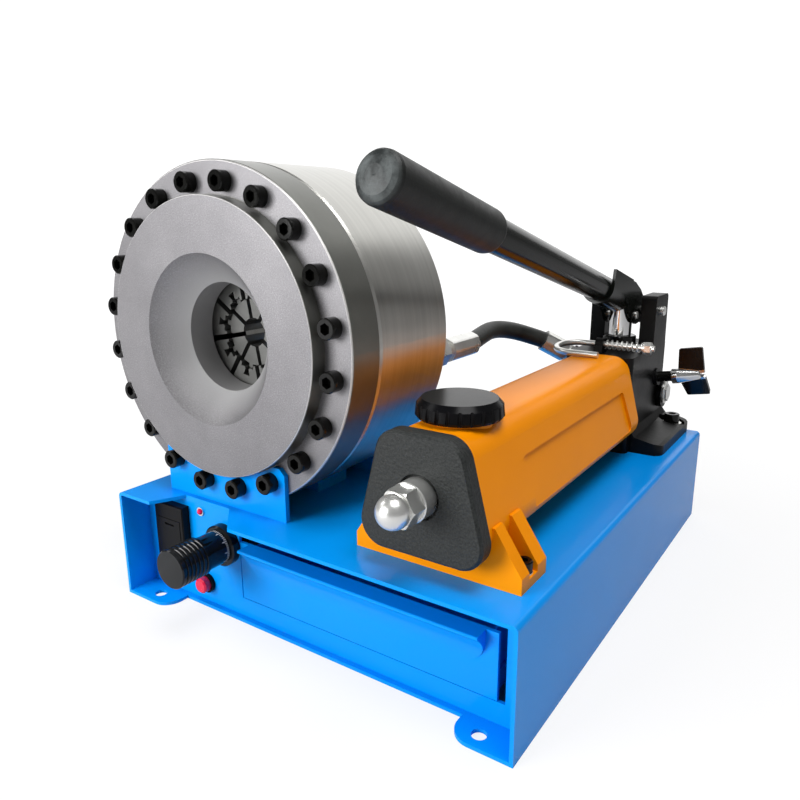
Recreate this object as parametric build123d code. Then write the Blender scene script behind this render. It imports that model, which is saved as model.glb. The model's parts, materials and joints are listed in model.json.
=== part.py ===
from build123d import *
import math
import os

# Hose crimping machine with a hand pump, in millimetres.
# X points to the right, the front faces -Y and Z points up.
# The origin is on the bench, at the centre of the four mounting holes.

# ---------------------------------------------------------------- driving dimensions
BASE_W = 391.0
BASE_D = 476.0
BASE_H = 100.0
SHEET = 3.0
PANEL_SETBACK = 28.0
BENCH_HOLE_X = 165.0
BENCH_HOLE_Y = 226.0
BENCH_HOLE_R = 5.5
TAB_INNER_LEFT = -141.5
TAB_INNER_RIGHT = 146.0
TAB_CORNER_R = 16.0
SILL_FLANGE = 5.0

HEAD_X = -93.0
HEAD_Z = 242.1
FLANGE_R = 138.5
FLANGE_FRONT_Y = -200.9
FLANGE_REAR_Y = -167.0
DISC_R = 112.6
DISC_FRONT_Y = -214.5
FUNNEL_MOUTH_R = 69.0
THROAT_R = 45.0
THROAT_START_Y = -190.5
CYLINDER_REAR_Y = -71.3
CYLINDER_BORE_R = 114.0
CHAMBER_REAR_Y = -84.0
SCREW_COUNT = 20
SCREW_CIRCLE_R = 123.3
M10_R = 5.0
M10_HEAD_R = 8.0
M10_HEAD_H = 10.0
M10_HEX = 8.0
BRACKET_T = 4.3
BRACKET_HALF_W = 70.5
BRACKET_TOP_Z = 145.0
CRADLE_HALF_W = 48.0

DIE_COUNT = 8
DIE_TURN = 10.9
DIE_FRONT_Y = -165.0
DIE_REAR_Y = -128.8
JAW_FRONT_Y = -160.5
JAW_REAR_Y = -130.0
DIE_SEAT_R = 28.8
JAW_BACK_R = 28.5
TONGUE_HALF_W = 2.2
TONGUE_END = 32.3
SEAT_POCKET_HALF_W = 7.0
SEAT_POCKET_END = 31.2
DIE_BORE_R = 10.0
DIE_BORE_SHIFT = 2.5
MASTER_HALF_GAP = 2.4
JAW_HALF_GAP = 2.0
TAPER = 0.3
TAPER_REAR_Y = -116.8
TAPER_REAR_APOTHEM = 66.0
PISTON_FRONT_Y = -154.0
PISTON_REAR_Y = -102.8
PISTON_CLEARANCE = 0.1
SEAL_FRONT_Y = -114.0
SEAL_REAR_Y = -108.0
SEAL_DEPTH = 4.0
DIE_BACK_CLEARANCE = 0.2
SLEEVE_R = 62.0

PUMP_X = 114.7
TANK_FRONT_Y = -212.0
TANK_REAR_Y = 113.0
TANK_BOTTOM_Z = 118.5
TANK_TOP_Z = 200.5
CAP_FRONT_Y = -224.0
CAP_BOTTOM_Z = 116.0
CAP_TOP_Z = 203.0
CAP_BOTTOM_HALF = 53.4
CAP_TOP_HALF = 31.0
TIE_ROD_Z = 160.0
TIE_ROD_R = 8.0
NUT_SEAT_Y = -236.0
NUT_RECESS_R = 16.0
NUT_RECESS_DEPTH = 4.0
FILLER_Y = -170.3
FRONT_FOOT_X = 59.0
FRONT_FOOT_Y = -185.75
REAR_FOOT_X = 52.5
REAR_FOOT_HALF_W = 67.5
REAR_FOOT_Y = 221.0

BODY_HALF_W = 35.0
BODY_REAR_Y = 238.0
BODY_TOP_Z = 199.0
EAR_INNER = 19.0
EAR_FRONT_Y = 185.0
EAR_REAR_Y = 230.0
EAR_TOP_Z = 254.0
FULCRUM_Y = 204.0
FULCRUM_Z = 237.0
FULCRUM_R = 5.0
PLUNGER_Y = 178.0
PLUNGER_R = 12.0
CROSSHEAD_Z = 234.0
CROSSHEAD_R = 4.0
RUNNING = 0.05

LEVER_FRONT_Y = -267.0
LEVER_FRONT_Z = 359.4
LEVER_SLOPE = 0.2458
LEVER_TUBE_R = 13.0
GRIP_R = 16.0
GRIP_LENGTH = 136.0
GRIP_END_T = 4.2
FORK_FRONT_Y = 99.0
FORK_T = 3.0

DRAWER_LEFT = -72.4
DRAWER_RIGHT = 169.5
DRAWER_SLOT = 6.3
DRAWER_BOTTOM = 20.6
DRAWER_TOP = 72.0
DRAWER_DEPTH = 300.0
LIP_INSET = 9.5
LIP_REACH = 12.6
LIP_BOTTOM_Z = 44.0
LIP_CORNER_R = 20.0

DIAL_X = -91.2
DIAL_Z = 66.2
DIAL_COLLAR_H = 8.0
DIAL_NECK_END = 28.0
DIAL_LENGTH = 58.0
DIAL_SPINDLE_R = 4.0
BUTTON_X = -117.0
BUTTON_Z = 21.5
BUTTON_R = 7.0
LAMP_X = -119.5
LAMP_Z = 89.0
BATTERY_LEFT = -174.0
BATTERY_RIGHT = -136.0
BATTERY_BOTTOM = 30.0
BATTERY_TOP = 90.0

HOOK_ROD_R = 3.1
HOOK_Y = 133.0
HOOK_Z = 207.6
HOOK_FRONT_Y = 90.0
HOOK_FRONT_Z = 203.9

VALVE_Y = 205.0
VALVE_Z = 164.0
VALVE_PITCH = 10.0
VALVE_STEM_R = 5.7
VALVE_WINGS = (0.0, 217.5)
PLUG_Y = 225.0
PLUG_Z = 143.0
PLUG_BOSS_H = 6.0

HOSE_R = 9.0
FERRULE_R = 11.0
PORT_X = 18.0
PORT_Z = 216.5
FERRULE_END_Y = 20.0
HOSE_ROUTE = [
    (18.2, 18.0, 216.2),
    (16.8, 42.0, 220.2),
    (15.2, 68.0, 223.3),
    (19.9, 95.5, 220.4),
    (31.5, 121.0, 212.8),
    (48.0, 139.0, 203.9),
]
PUMP_PORT_START = (45.3, 136.0, 205.4)
PUMP_PORT_END = (64.3, 150.0, 192.7)

PANEL_FRONT_Y = -BASE_D / 2 + PANEL_SETBACK
PANEL_REAR_Y = PANEL_FRONT_Y + SHEET


# ---------------------------------------------------------------- helpers
def save(node, shape):
    """Write one sub-part to parts/NODE.step."""
    shape.label = node
    export_step(shape, f"parts/{node}.step")


def block(x0, x1, y0, y1, z0, z1):
    """A box between two corners."""
    size = (x1 - x0, y1 - y0, z1 - z0)
    centre = ((x0 + x1) / 2, (y0 + y1) / 2, (z0 + z1) / 2)
    return Pos(*centre) * Box(*size)


def rod_y(x, z, radius, y0, y1):
    """A cylinder along Y."""
    return Pos(x, (y0 + y1) / 2, z) * Rot(90, 0, 0) * Cylinder(radius, y1 - y0)


def rod_x(y, z, radius, x0, x1):
    """A cylinder along X."""
    return Pos((x0 + x1) / 2, y, z) * Rot(0, 90, 0) * Cylinder(radius, x1 - x0)


def rod_z(x, y, radius, z0, z1):
    """A cylinder along Z."""
    return Pos(x, y, (z0 + z1) / 2) * Cylinder(radius, z1 - z0)


def front_prism(points, y0, y1):
    """A prism of an (x, z) outline, from y0 back to y1."""
    face = make_face(Polyline(*[(x, y1, z) for x, z in points], close=True))
    return extrude(face, amount=y1 - y0, dir=(0, -1, 0))


def side_prism(points, x0, x1):
    """A prism of a (y, z) outline, from x0 to x1."""
    face = make_face(Polyline(*[(x0, y, z) for y, z in points], close=True))
    return extrude(face, amount=x1 - x0, dir=(1, 0, 0))


def plan_prism(points, z0, z1):
    """A prism of an (x, y) outline, from z0 up to z1."""
    face = make_face(Polyline(*[(x, y, z0) for x, y in points], close=True))
    return extrude(face, amount=z1 - z0, dir=(0, 0, 1))


def turned(x, z, profile):
    """A turned piece on an axis along Y through (x, z); profile points are (radius, y)."""
    face = make_face(Polyline(*[(x + r, y, z) for r, y in profile], close=True))
    return revolve(face, Axis((x, 0, z), (0, 1, 0)), 360)


def hexagon_y(x, z, across_flats, y0, y1):
    """A hexagonal prism along Y."""
    sketch = Plane(origin=(x, y1, z), x_dir=(1, 0, 0), z_dir=(0, -1, 0)) * RegularPolygon(
        across_flats / 2, 6, major_radius=False
    )
    return extrude(sketch, amount=y1 - y0, dir=(0, -1, 0))


def socket_screw(x, y, z, direction, shank_r, shank_length, head_r, head_h, hexagon):
    """A socket head cap screw whose head stands on (x, y, z) and faces along direction."""
    plane = Plane(origin=(x, y, z), z_dir=direction)
    head = Pos(0, 0, head_h / 2) * Cylinder(head_r, head_h)
    head = chamfer(head.edges().group_by(Axis.Z)[-1], 0.8)
    recess = Pos(0, 0, head_h) * RegularPolygon(hexagon / 2, 6, major_radius=False)
    head -= extrude(recess, amount=-head_h * 0.55)
    shank = Pos(0, 0, -shank_length / 2) * Cylinder(shank_r, shank_length)
    return plane * (head + shank)


def ring_positions(count, radius, start_degrees):
    """Points (x, z) on the head's circle, counted from straight down."""
    spots = []
    for index in range(count):
        angle = math.radians(start_degrees + index * 360 / count)
        spots.append((HEAD_X + radius * math.sin(angle), HEAD_Z - radius * math.cos(angle)))
    return spots


# ---------------------------------------------------------------- base
def base_shell():
    """Top plate and side walls, bent from one sheet, with the notch over the controls."""
    half_w = BASE_W / 2
    half_d = BASE_D / 2
    shell = block(-half_w, half_w, -half_d, half_d, 0, BASE_H)
    shell = fillet(shell.edges().filter_by(Axis.Y).group_by(Axis.Z)[-1], 4.5)
    hollow = block(-half_w + SHEET, half_w - SHEET, -half_d - 1, half_d + 1, -1, BASE_H - SHEET)
    hollow = fillet(hollow.edges().filter_by(Axis.Y).group_by(Axis.Z)[-1], 1.5)
    shell -= hollow
    notch = [
        (-152.6, -half_d),
        (-138.3, PANEL_FRONT_Y),
        (-83.1, PANEL_FRONT_Y),
        (-55.2, -half_d),
        (-55.2, -half_d - 5),
        (-152.6, -half_d - 5),
    ]
    shell -= plan_prism(notch, BASE_H - SHEET - 1, BASE_H + 1)
    for x in (-FRONT_FOOT_X, FRONT_FOOT_X):
        shell -= rod_z(PUMP_X + x, FRONT_FOOT_Y, 4.5, BASE_H - SHEET - 1, BASE_H + 1)
    for x in (-REAR_FOOT_X, REAR_FOOT_X):
        shell -= rod_z(PUMP_X + x, REAR_FOOT_Y, 5.5, BASE_H - SHEET - 1, BASE_H + 1)
    return shell


def sill(side):
    """The panel's bottom flange with a foot tab at each end, for side -1 (front) or 1 (rear)."""
    inner = BASE_W / 2 - SHEET
    edge = side * BASE_D / 2
    panel = side * (BASE_D / 2 - PANEL_SETBACK)
    strip = side * (BASE_D / 2 - PANEL_SETBACK + SILL_FLANGE)
    outline = [
        (-inner, panel),
        (-inner, edge),
        (TAB_INNER_LEFT, edge),
        (TAB_INNER_LEFT, strip),
        (TAB_INNER_RIGHT, strip),
        (TAB_INNER_RIGHT, edge),
        (inner, edge),
        (inner, panel),
    ]
    plate = plan_prism(outline, 0, SHEET)
    tab_corners = [
        e
        for e in plate.edges().filter_by(Axis.Z)
        if abs(e.center().Y - edge) < 0.1 and abs(e.center().X) < inner - 1
    ]
    plate = fillet(tab_corners, TAB_CORNER_R)
    for x in (-BENCH_HOLE_X, BENCH_HOLE_X):
        plate -= rod_z(x, side * BENCH_HOLE_Y, BENCH_HOLE_R, -1, SHEET + 1)
    return plate


def panel_sheet(y0, y1):
    """Upright sheet between the side walls, with its upper corners rounded to the bend."""
    inner = BASE_W / 2 - SHEET
    sheet = block(-inner, inner, y0, y1, 0, BASE_H - SHEET)
    return fillet(sheet.edges().filter_by(Axis.Y).group_by(Axis.Z)[-1], 1.6)


def front_panel():
    """Set-back front panel with openings for the drawer and the controls."""
    panel = panel_sheet(PANEL_FRONT_Y, PANEL_REAR_Y) + sill(-1)
    panel -= block(
        DRAWER_LEFT - 1, DRAWER_RIGHT + DRAWER_SLOT, PANEL_FRONT_Y - 20, PANEL_REAR_Y + 1, 20, BASE_H
    )
    panel -= rod_y(DIAL_X, DIAL_Z, 8, PANEL_FRONT_Y - 1, PANEL_REAR_Y + 1)
    panel -= rod_y(BUTTON_X, BUTTON_Z, 8, PANEL_FRONT_Y - 1, PANEL_REAR_Y + 1)
    panel -= rod_y(LAMP_X, LAMP_Z, 3, PANEL_FRONT_Y - 1, PANEL_REAR_Y + 1)
    panel -= block(
        BATTERY_LEFT + 2,
        BATTERY_RIGHT - 2,
        PANEL_FRONT_Y - 1,
        PANEL_REAR_Y + 1,
        BATTERY_BOTTOM + 2,
        BATTERY_TOP - 2,
    )
    return panel


def rear_panel():
    """Plain rear panel, set back like the front one."""
    return panel_sheet(-PANEL_REAR_Y, -PANEL_FRONT_Y) + sill(1)


def drawer_tray():
    """Open tray behind the drawer front."""
    left = DRAWER_LEFT + 6
    right = DRAWER_RIGHT - 8
    rear = PANEL_REAR_Y + DRAWER_DEPTH
    tray = block(left, right, PANEL_REAR_Y, rear, DRAWER_BOTTOM + 0.8, 66)
    return tray - block(left + 2, right - 2, PANEL_REAR_Y + 2, rear - 2, DRAWER_BOTTOM + 2.8, 67)


def drawer_front():
    """Drawer front whose upper part flares outward as a pull lip."""
    plate = block(DRAWER_LEFT, DRAWER_RIGHT, PANEL_FRONT_Y, PANEL_REAR_Y, DRAWER_BOTTOM, DRAWER_TOP)
    left = DRAWER_LEFT + LIP_INSET
    right = DRAWER_RIGHT - LIP_INSET
    nose = PANEL_FRONT_Y - LIP_REACH
    edge_z = DRAWER_TOP - 2.0
    rise = edge_z - LIP_BOTTOM_Z
    flare_r = (rise**2 + LIP_REACH**2) / (2 * LIP_REACH)
    half_turn = math.asin(rise / flare_r) / 2
    middle_y = PANEL_FRONT_Y - flare_r * (1 - math.cos(half_turn))
    middle_z = LIP_BOTTOM_Z + flare_r * math.sin(half_turn)
    start = (left, PANEL_FRONT_Y, LIP_BOTTOM_Z)
    flare = ThreePointArc(start, (left, middle_y, middle_z), (left, nose, edge_z))
    back = Polyline(
        (left, nose, edge_z),
        (left, nose, DRAWER_TOP - 0.6),
        (left, nose + 0.6, DRAWER_TOP),
        (left, PANEL_FRONT_Y + 1, DRAWER_TOP),
        (left, PANEL_FRONT_Y + 1, LIP_BOTTOM_Z),
        start,
    )
    lip = extrude(make_face(flare + back), amount=right - left, dir=(1, 0, 0))
    outline = RectangleRounded(right - left, 2 * (DRAWER_TOP - LIP_BOTTOM_Z + 1), LIP_CORNER_R)
    mask_plane = Plane(origin=((left + right) / 2, nose - 1, DRAWER_TOP), x_dir=(1, 0, 0), z_dir=(0, 1, 0))
    mask = mask_plane * outline
    lip = lip & extrude(mask, amount=20)
    hollow_profile = [
        (PANEL_REAR_Y + 1, 52.0),
        (PANEL_FRONT_Y + 0.5, 52.5),
        (PANEL_FRONT_Y - 1.9, 59.0),
        (PANEL_FRONT_Y - 5.0, 64.0),
        (PANEL_FRONT_Y - 8.8, 68.2),
        (PANEL_REAR_Y + 1, 69.8),
    ]
    return (plate + lip) - side_prism(hollow_profile, left + 4, right - 4)


def drawer_runners():
    """Two angle runners between the front and rear panels."""
    runners = []
    for x, side in ((DRAWER_LEFT + 5.4, -1), (DRAWER_RIGHT - 7.4, 1)):
        ledge = block(min(x, x - side * 12), max(x, x - side * 12), PANEL_REAR_Y, -PANEL_REAR_Y, 19, 21.2)
        wall = block(min(x, x + side * 2), max(x, x + side * 2), PANEL_REAR_Y, -PANEL_REAR_Y, 19, 34)
        runners.append(ledge + wall)
    return Compound(runners)


def battery_box():
    """Panel-mounted battery case: a bezel and the sleeve behind it."""
    bezel = block(BATTERY_LEFT, BATTERY_RIGHT, PANEL_FRONT_Y - 8, PANEL_FRONT_Y, BATTERY_BOTTOM, BATTERY_TOP)
    bezel = chamfer(bezel.edges().group_by(Axis.Y)[0], 1.0)
    sleeve = block(
        BATTERY_LEFT + 2,
        BATTERY_RIGHT - 2,
        PANEL_FRONT_Y,
        PANEL_FRONT_Y + 25,
        BATTERY_BOTTOM + 2,
        BATTERY_TOP - 2,
    )
    return (bezel + sleeve) - block(
        BATTERY_LEFT + 4,
        BATTERY_RIGHT - 4,
        PANEL_FRONT_Y - 9,
        PANEL_FRONT_Y + 23,
        BATTERY_BOTTOM + 6,
        BATTERY_TOP - 14,
    )


def battery_tray():
    """Tray that pulls out of the battery case, with a finger groove."""
    tray = block(
        BATTERY_LEFT + 4.2,
        BATTERY_RIGHT - 4.2,
        PANEL_FRONT_Y - 8.4,
        PANEL_FRONT_Y + 22,
        BATTERY_BOTTOM + 6.2,
        BATTERY_TOP - 14.2,
    )
    tray -= block(
        BATTERY_LEFT + 6,
        BATTERY_RIGHT - 6,
        PANEL_FRONT_Y - 5,
        PANEL_FRONT_Y + 20,
        BATTERY_BOTTOM + 8,
        BATTERY_TOP - 12,
    )
    groove = block(-160, -148, PANEL_FRONT_Y - 9, PANEL_FRONT_Y - 7.2, BATTERY_TOP - 20, BATTERY_TOP - 18)
    return tray - groove


def button_switch():
    """Bezel and body of the push button."""
    profile = [
        (BUTTON_R + RUNNING, PANEL_FRONT_Y - 3.5),
        (8.3, PANEL_FRONT_Y - 3.5),
        (8.9, PANEL_FRONT_Y - 2.9),
        (8.9, PANEL_FRONT_Y),
        (7.9, PANEL_FRONT_Y),
        (7.9, PANEL_FRONT_Y + 24),
        (0.0, PANEL_FRONT_Y + 24),
        (0.0, PANEL_FRONT_Y + 6),
        (BUTTON_R + RUNNING, PANEL_FRONT_Y + 6),
    ]
    return turned(BUTTON_X, BUTTON_Z, profile)


def push_button():
    """Red plunger of the push button."""
    y = PANEL_FRONT_Y
    profile = [(0, y - 10.0), (5.6, y - 10.0), (BUTTON_R, y - 8.6), (BUTTON_R, y + 1.5), (0, y + 1.5)]
    return turned(BUTTON_X, BUTTON_Z, profile)


def pilot_lamp():
    """Small lamp with a domed lens."""
    y = PANEL_FRONT_Y
    profile = [
        (0, y - 3.6),
        (1.6, y - 3.2),
        (2.5, y - 2.2),
        (2.6, y - 1.4),
        (3.9, y - 1.4),
        (3.9, y),
        (2.9, y),
        (2.9, y + 12),
        (0, y + 12),
    ]
    return turned(LAMP_X, LAMP_Z, profile)


def dial_sleeve():
    """Fixed collar, neck and shank of the size dial."""
    y = PANEL_FRONT_Y
    bore_r = DIAL_SPINDLE_R + 0.1
    profile = [
        (bore_r, y - 35),
        (10.0, y - 35),
        (10.0, y - DIAL_COLLAR_H),
        (17.0, y - DIAL_COLLAR_H),
        (18.2, y - DIAL_COLLAR_H + 1.2),
        (18.2, y),
        (7.9, y),
        (7.9, y + 20),
        (bore_r, y + 20),
    ]
    return turned(DIAL_X, DIAL_Z, profile)


def dial_thimble():
    """Turning barrel and ringed knob of the size dial."""
    y = PANEL_FRONT_Y
    knob_r = 16.5
    ring_r = 15.4
    barrel_r = 14.6
    profile = [(0, y - DIAL_LENGTH), (knob_r - 0.8, y - DIAL_LENGTH), (knob_r, y - DIAL_LENGTH + 1)]
    for ring in range(6):
        start = y - DIAL_LENGTH + 3.5 + ring * 4.0
        profile += [(knob_r, start), (ring_r, start + 0.7), (ring_r, start + 1.4), (knob_r, start + 2.1)]
    profile += [(knob_r, y - DIAL_NECK_END - 1.5), (barrel_r, y - DIAL_NECK_END)]
    profile += [(barrel_r, y - DIAL_COLLAR_H - 0.3), (10.0 + RUNNING, y - DIAL_COLLAR_H - 0.3)]
    profile += [(10.0 + RUNNING, y - 37), (0, y - 37)]
    return turned(DIAL_X, DIAL_Z, profile)


def dial_spindle():
    """Stop spindle driven in and out by the dial."""
    return rod_y(DIAL_X, DIAL_Z, DIAL_SPINDLE_R, PANEL_FRONT_Y - 33, PANEL_FRONT_Y + 60)


# ---------------------------------------------------------------- head
def screw_holes(y0, y1, radius, spots):
    """Cutters for the flange screws."""
    return [rod_y(x, z, radius, y0, y1) for x, z in spots]


def front_flange():
    """Turned front flange with its raised disc and funnel."""
    profile = [
        (THROAT_R, FLANGE_REAR_Y),
        (THROAT_R, THROAT_START_Y),
        (FUNNEL_MOUTH_R, DISC_FRONT_Y),
        (DISC_R - 0.8, DISC_FRONT_Y),
        (DISC_R, DISC_FRONT_Y + 0.8),
        (DISC_R, FLANGE_FRONT_Y),
        (FLANGE_R - 1.2, FLANGE_FRONT_Y),
        (FLANGE_R, FLANGE_FRONT_Y + 1.2),
        (FLANGE_R, FLANGE_REAR_Y - 2.0),
        (FLANGE_R - 2.0, FLANGE_REAR_Y),
    ]
    flange = turned(HEAD_X, HEAD_Z, profile)
    spots = ring_positions(SCREW_COUNT, SCREW_CIRCLE_R, 9)
    return flange - screw_holes(FLANGE_FRONT_Y - 1, FLANGE_REAR_Y + 1, M10_R + 0.5, spots)


def cylinder_body():
    """Outer cylinder with the rear wall and the oil port."""
    profile = [
        (CYLINDER_BORE_R, FLANGE_REAR_Y),
        (FLANGE_R - 2.0, FLANGE_REAR_Y),
        (FLANGE_R, FLANGE_REAR_Y + 2.0),
        (FLANGE_R, CYLINDER_REAR_Y - 2.0),
        (FLANGE_R - 2.0, CYLINDER_REAR_Y),
        (SLEEVE_R - 8, CYLINDER_REAR_Y),
        (SLEEVE_R - 8, CHAMBER_REAR_Y),
        (CYLINDER_BORE_R, CHAMBER_REAR_Y),
    ]
    body = turned(HEAD_X, HEAD_Z, profile)
    front_spots = ring_positions(SCREW_COUNT, SCREW_CIRCLE_R, 9)
    body -= screw_holes(FLANGE_REAR_Y - 1, FLANGE_REAR_Y + 26, M10_R, front_spots)
    rear_spots = ring_positions(SCREW_COUNT, SCREW_CIRCLE_R, 9)
    rear_spots = [rear_spots[0], rear_spots[1], rear_spots[-1], rear_spots[-2]]
    body -= screw_holes(CYLINDER_REAR_Y - 16, CYLINDER_REAR_Y + 1, M10_R, rear_spots)
    body -= rod_y(PORT_X, PORT_Z, 6.0, CHAMBER_REAR_Y - 1, CYLINDER_REAR_Y + 1)
    return body


def guide_sleeve():
    """Inner sleeve that guides the annular piston and leaves the head open for a hose."""
    profile = [
        (THROAT_R, DIE_REAR_Y + 0.5),
        (SLEEVE_R, DIE_REAR_Y + 0.5),
        (SLEEVE_R, CHAMBER_REAR_Y),
        (SLEEVE_R - 8, CHAMBER_REAR_Y),
        (SLEEVE_R - 8, CYLINDER_REAR_Y + 3),
        (THROAT_R, CYLINDER_REAR_Y + 3),
    ]
    return turned(HEAD_X, HEAD_Z, profile)


def octagon(apothem, y):
    """Octagon outline around the head's axis, with flats facing each die."""
    return head_plane(y) * Rot(0, 0, DIE_TURN) * RegularPolygon(apothem, DIE_COUNT, major_radius=False)


def taper_apothem(y):
    """Distance from the axis to the piston's flats at y, at rest."""
    return TAPER_REAR_APOTHEM + TAPER * (TAPER_REAR_Y - y)


def annular_piston():
    """Ring piston whose eight tapered flats press the dies inward."""
    radius = CYLINDER_BORE_R - PISTON_CLEARANCE
    ring = turned(
        HEAD_X,
        HEAD_Z,
        [
            (SLEEVE_R + PISTON_CLEARANCE, PISTON_FRONT_Y),
            (radius - 1.5, PISTON_FRONT_Y),
            (radius, PISTON_FRONT_Y + 1.5),
            (radius, SEAL_FRONT_Y),
            (radius - SEAL_DEPTH, SEAL_FRONT_Y),
            (radius - SEAL_DEPTH, SEAL_REAR_Y),
            (radius, SEAL_REAR_Y),
            (radius, PISTON_REAR_Y),
            (SLEEVE_R + PISTON_CLEARANCE, PISTON_REAR_Y),
        ],
    )
    front = octagon(taper_apothem(PISTON_FRONT_Y - 1), PISTON_FRONT_Y - 1)
    rear = octagon(TAPER_REAR_APOTHEM, TAPER_REAR_Y)
    return ring - loft([front, rear])


def piston_seal():
    """Seal ring in the piston's outer groove."""
    outer = CYLINDER_BORE_R - PISTON_CLEARANCE
    inner = outer - SEAL_DEPTH
    profile = [(inner, SEAL_FRONT_Y), (outer, SEAL_FRONT_Y), (outer, SEAL_REAR_Y), (inner, SEAL_REAR_Y)]
    return turned(HEAD_X, HEAD_Z, profile)


def head_plane(y):
    """Plane across the head's axis at y, facing the front."""
    return Plane(origin=(HEAD_X, y, HEAD_Z), x_dir=(1, 0, 0), z_dir=(0, -1, 0))


def sector(start, end, half_gap, length):
    """Prism of one die sector, drawn along local X; start and end are distances from the axis."""
    tangent = math.tan(math.pi / DIE_COUNT)
    offset = half_gap / math.cos(math.pi / DIE_COUNT)
    points = [
        (start, -(start * tangent - offset)),
        (end, -(end * tangent - offset)),
        (end, end * tangent - offset),
        (start, start * tangent - offset),
    ]
    return extrude(make_face(Polyline(*points, close=True)), amount=length)


def master_blank(angle):
    """Master die before its seat is cut, tapered on the back."""
    front = octagon(taper_apothem(DIE_FRONT_Y) - DIE_BACK_CLEARANCE, DIE_FRONT_Y)
    rear = octagon(taper_apothem(DIE_REAR_Y) - DIE_BACK_CLEARANCE, DIE_REAR_Y)
    wedge = sector(DIE_SEAT_R - 6, 110, MASTER_HALF_GAP, DIE_REAR_Y - DIE_FRONT_Y)
    return (head_plane(DIE_REAR_Y) * Rot(0, 0, angle) * wedge) & loft([front, rear])


def master_cuts(length):
    """Seat, tongue slot, side pockets and size mark, cut from a master die."""
    middle = length / 2
    seat = Pos(0, 0, middle) * Cylinder(DIE_SEAT_R, length + 2)
    slot_reach = TONGUE_END + 0.2 - DIE_SEAT_R
    slot = Pos(DIE_SEAT_R, 0, middle) * Box(2 * slot_reach, 2 * TONGUE_HALF_W + 0.4, length + 2)
    pocket_depth = 14.0
    pocket = Pos(DIE_SEAT_R, 0, length - pocket_depth / 2 + 1) * Box(
        2 * (SEAT_POCKET_END - DIE_SEAT_R), 2 * SEAT_POCKET_HALF_W, pocket_depth + 2
    )
    mark = make_face(Polyline((32.4, -1.7), (38.2, -3.7), (38.2, 3.7), (32.4, 1.7), close=True))
    return seat + slot + pocket + Pos(0, 0, length - 12) * extrude(mark, amount=13)


def jaw(length):
    """Jaw with its round back, the tongue that seats it and the crimping face."""
    middle = length / 2
    blank = sector(9.0, JAW_BACK_R + 2, JAW_HALF_GAP, length)
    blank = blank & (Pos(0, 0, middle) * Cylinder(JAW_BACK_R, length))
    tongue = Pos(TONGUE_END - 4, 0, middle) * Box(8, 2 * TONGUE_HALF_W, length)
    bore = Pos(DIE_BORE_SHIFT, 0, middle) * Cylinder(DIE_BORE_R, length + 2)
    return blank + tongue - bore


def die(index):
    """Master die and the jaw seated in it, as two solids."""
    angle = (index + 0.5) * 360 / DIE_COUNT + DIE_TURN
    cuts = master_cuts(DIE_REAR_Y - DIE_FRONT_Y)
    master = master_blank(angle) - head_plane(DIE_REAR_Y) * Rot(0, 0, angle) * cuts
    seated_jaw = head_plane(JAW_REAR_Y) * Rot(0, 0, angle) * jaw(JAW_REAR_Y - JAW_FRONT_Y)
    return Compound([master.solid(), seated_jaw.solid()])


def head_bracket(y0, y1):
    """Bracket plate under the head, with a concave edge round the raised disc."""
    left = HEAD_X - BRACKET_HALF_W
    right = HEAD_X + BRACKET_HALF_W
    plate = block(left, right, y0, y1, BASE_H, BRACKET_TOP_Z)
    tops = plate.edges().filter_by(Axis.Y).group_by(Axis.Z)[-1]
    plate = chamfer(tops, 5)
    plate -= rod_y(HEAD_X, HEAD_Z, DISC_R + 0.6, y0 - 1, y1 + 1)
    spots = ring_positions(SCREW_COUNT, SCREW_CIRCLE_R, 9)
    spots = [spots[0], spots[1], spots[-1], spots[-2]]
    return plate - screw_holes(y0 - 1, y1 + 1, M10_R + 0.5, spots)


def head_cradle():
    """Welded cradle with a concave top that carries the head's weight."""
    cradle = block(HEAD_X - CRADLE_HALF_W, HEAD_X + CRADLE_HALF_W, -140, -100, BASE_H, 120)
    return cradle - rod_y(HEAD_X, HEAD_Z, FLANGE_R, -145, -95)


def head_screw(x, y, z, side, shank_length):
    """M10 screw of the head, facing the front (side -1) or the rear (side 1)."""
    return socket_screw(x, y, z, (0, side, 0), M10_R, shank_length, M10_HEAD_R, M10_HEAD_H, M10_HEX)


def flange_screws():
    """Screws of the flange that miss the bracket."""
    spots = ring_positions(SCREW_COUNT, SCREW_CIRCLE_R, 9)[2:-2]
    return Compound([head_screw(x, FLANGE_FRONT_Y, z, -1, 58) for x, z in spots])


def bracket_screws():
    """Screws through the front and rear brackets."""
    spots = ring_positions(SCREW_COUNT, SCREW_CIRCLE_R, 9)
    spots = [spots[0], spots[1], spots[-1], spots[-2]]
    front_y = FLANGE_FRONT_Y - BRACKET_T
    rear_y = CYLINDER_REAR_Y + BRACKET_T
    front = [head_screw(x, front_y, z, -1, 58) for x, z in spots]
    rear = [head_screw(x, rear_y, z, 1, 18) for x, z in spots]
    return Compound(front + rear)


# ---------------------------------------------------------------- pump tank
def tank_section(inset, y):
    """Rounded trapezoid section of the tank, on a plane facing the front."""
    bottom_z = CAP_BOTTOM_Z + inset
    top_z = CAP_TOP_Z - inset
    slope = (CAP_BOTTOM_HALF - CAP_TOP_HALF) / (CAP_TOP_Z - CAP_BOTTOM_Z)
    bottom = CAP_BOTTOM_HALF - inset - slope * inset
    top = CAP_TOP_HALF - inset + slope * inset
    outline = Polyline((-bottom, bottom_z), (bottom, bottom_z), (top, top_z), (-top, top_z), close=True)
    face = make_face(outline)
    face = fillet(face.vertices(), 18)
    plane = Plane(origin=(PUMP_X, y, 0), x_dir=(1, 0, 0), z_dir=(0, -1, 0))
    return plane * face


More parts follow.
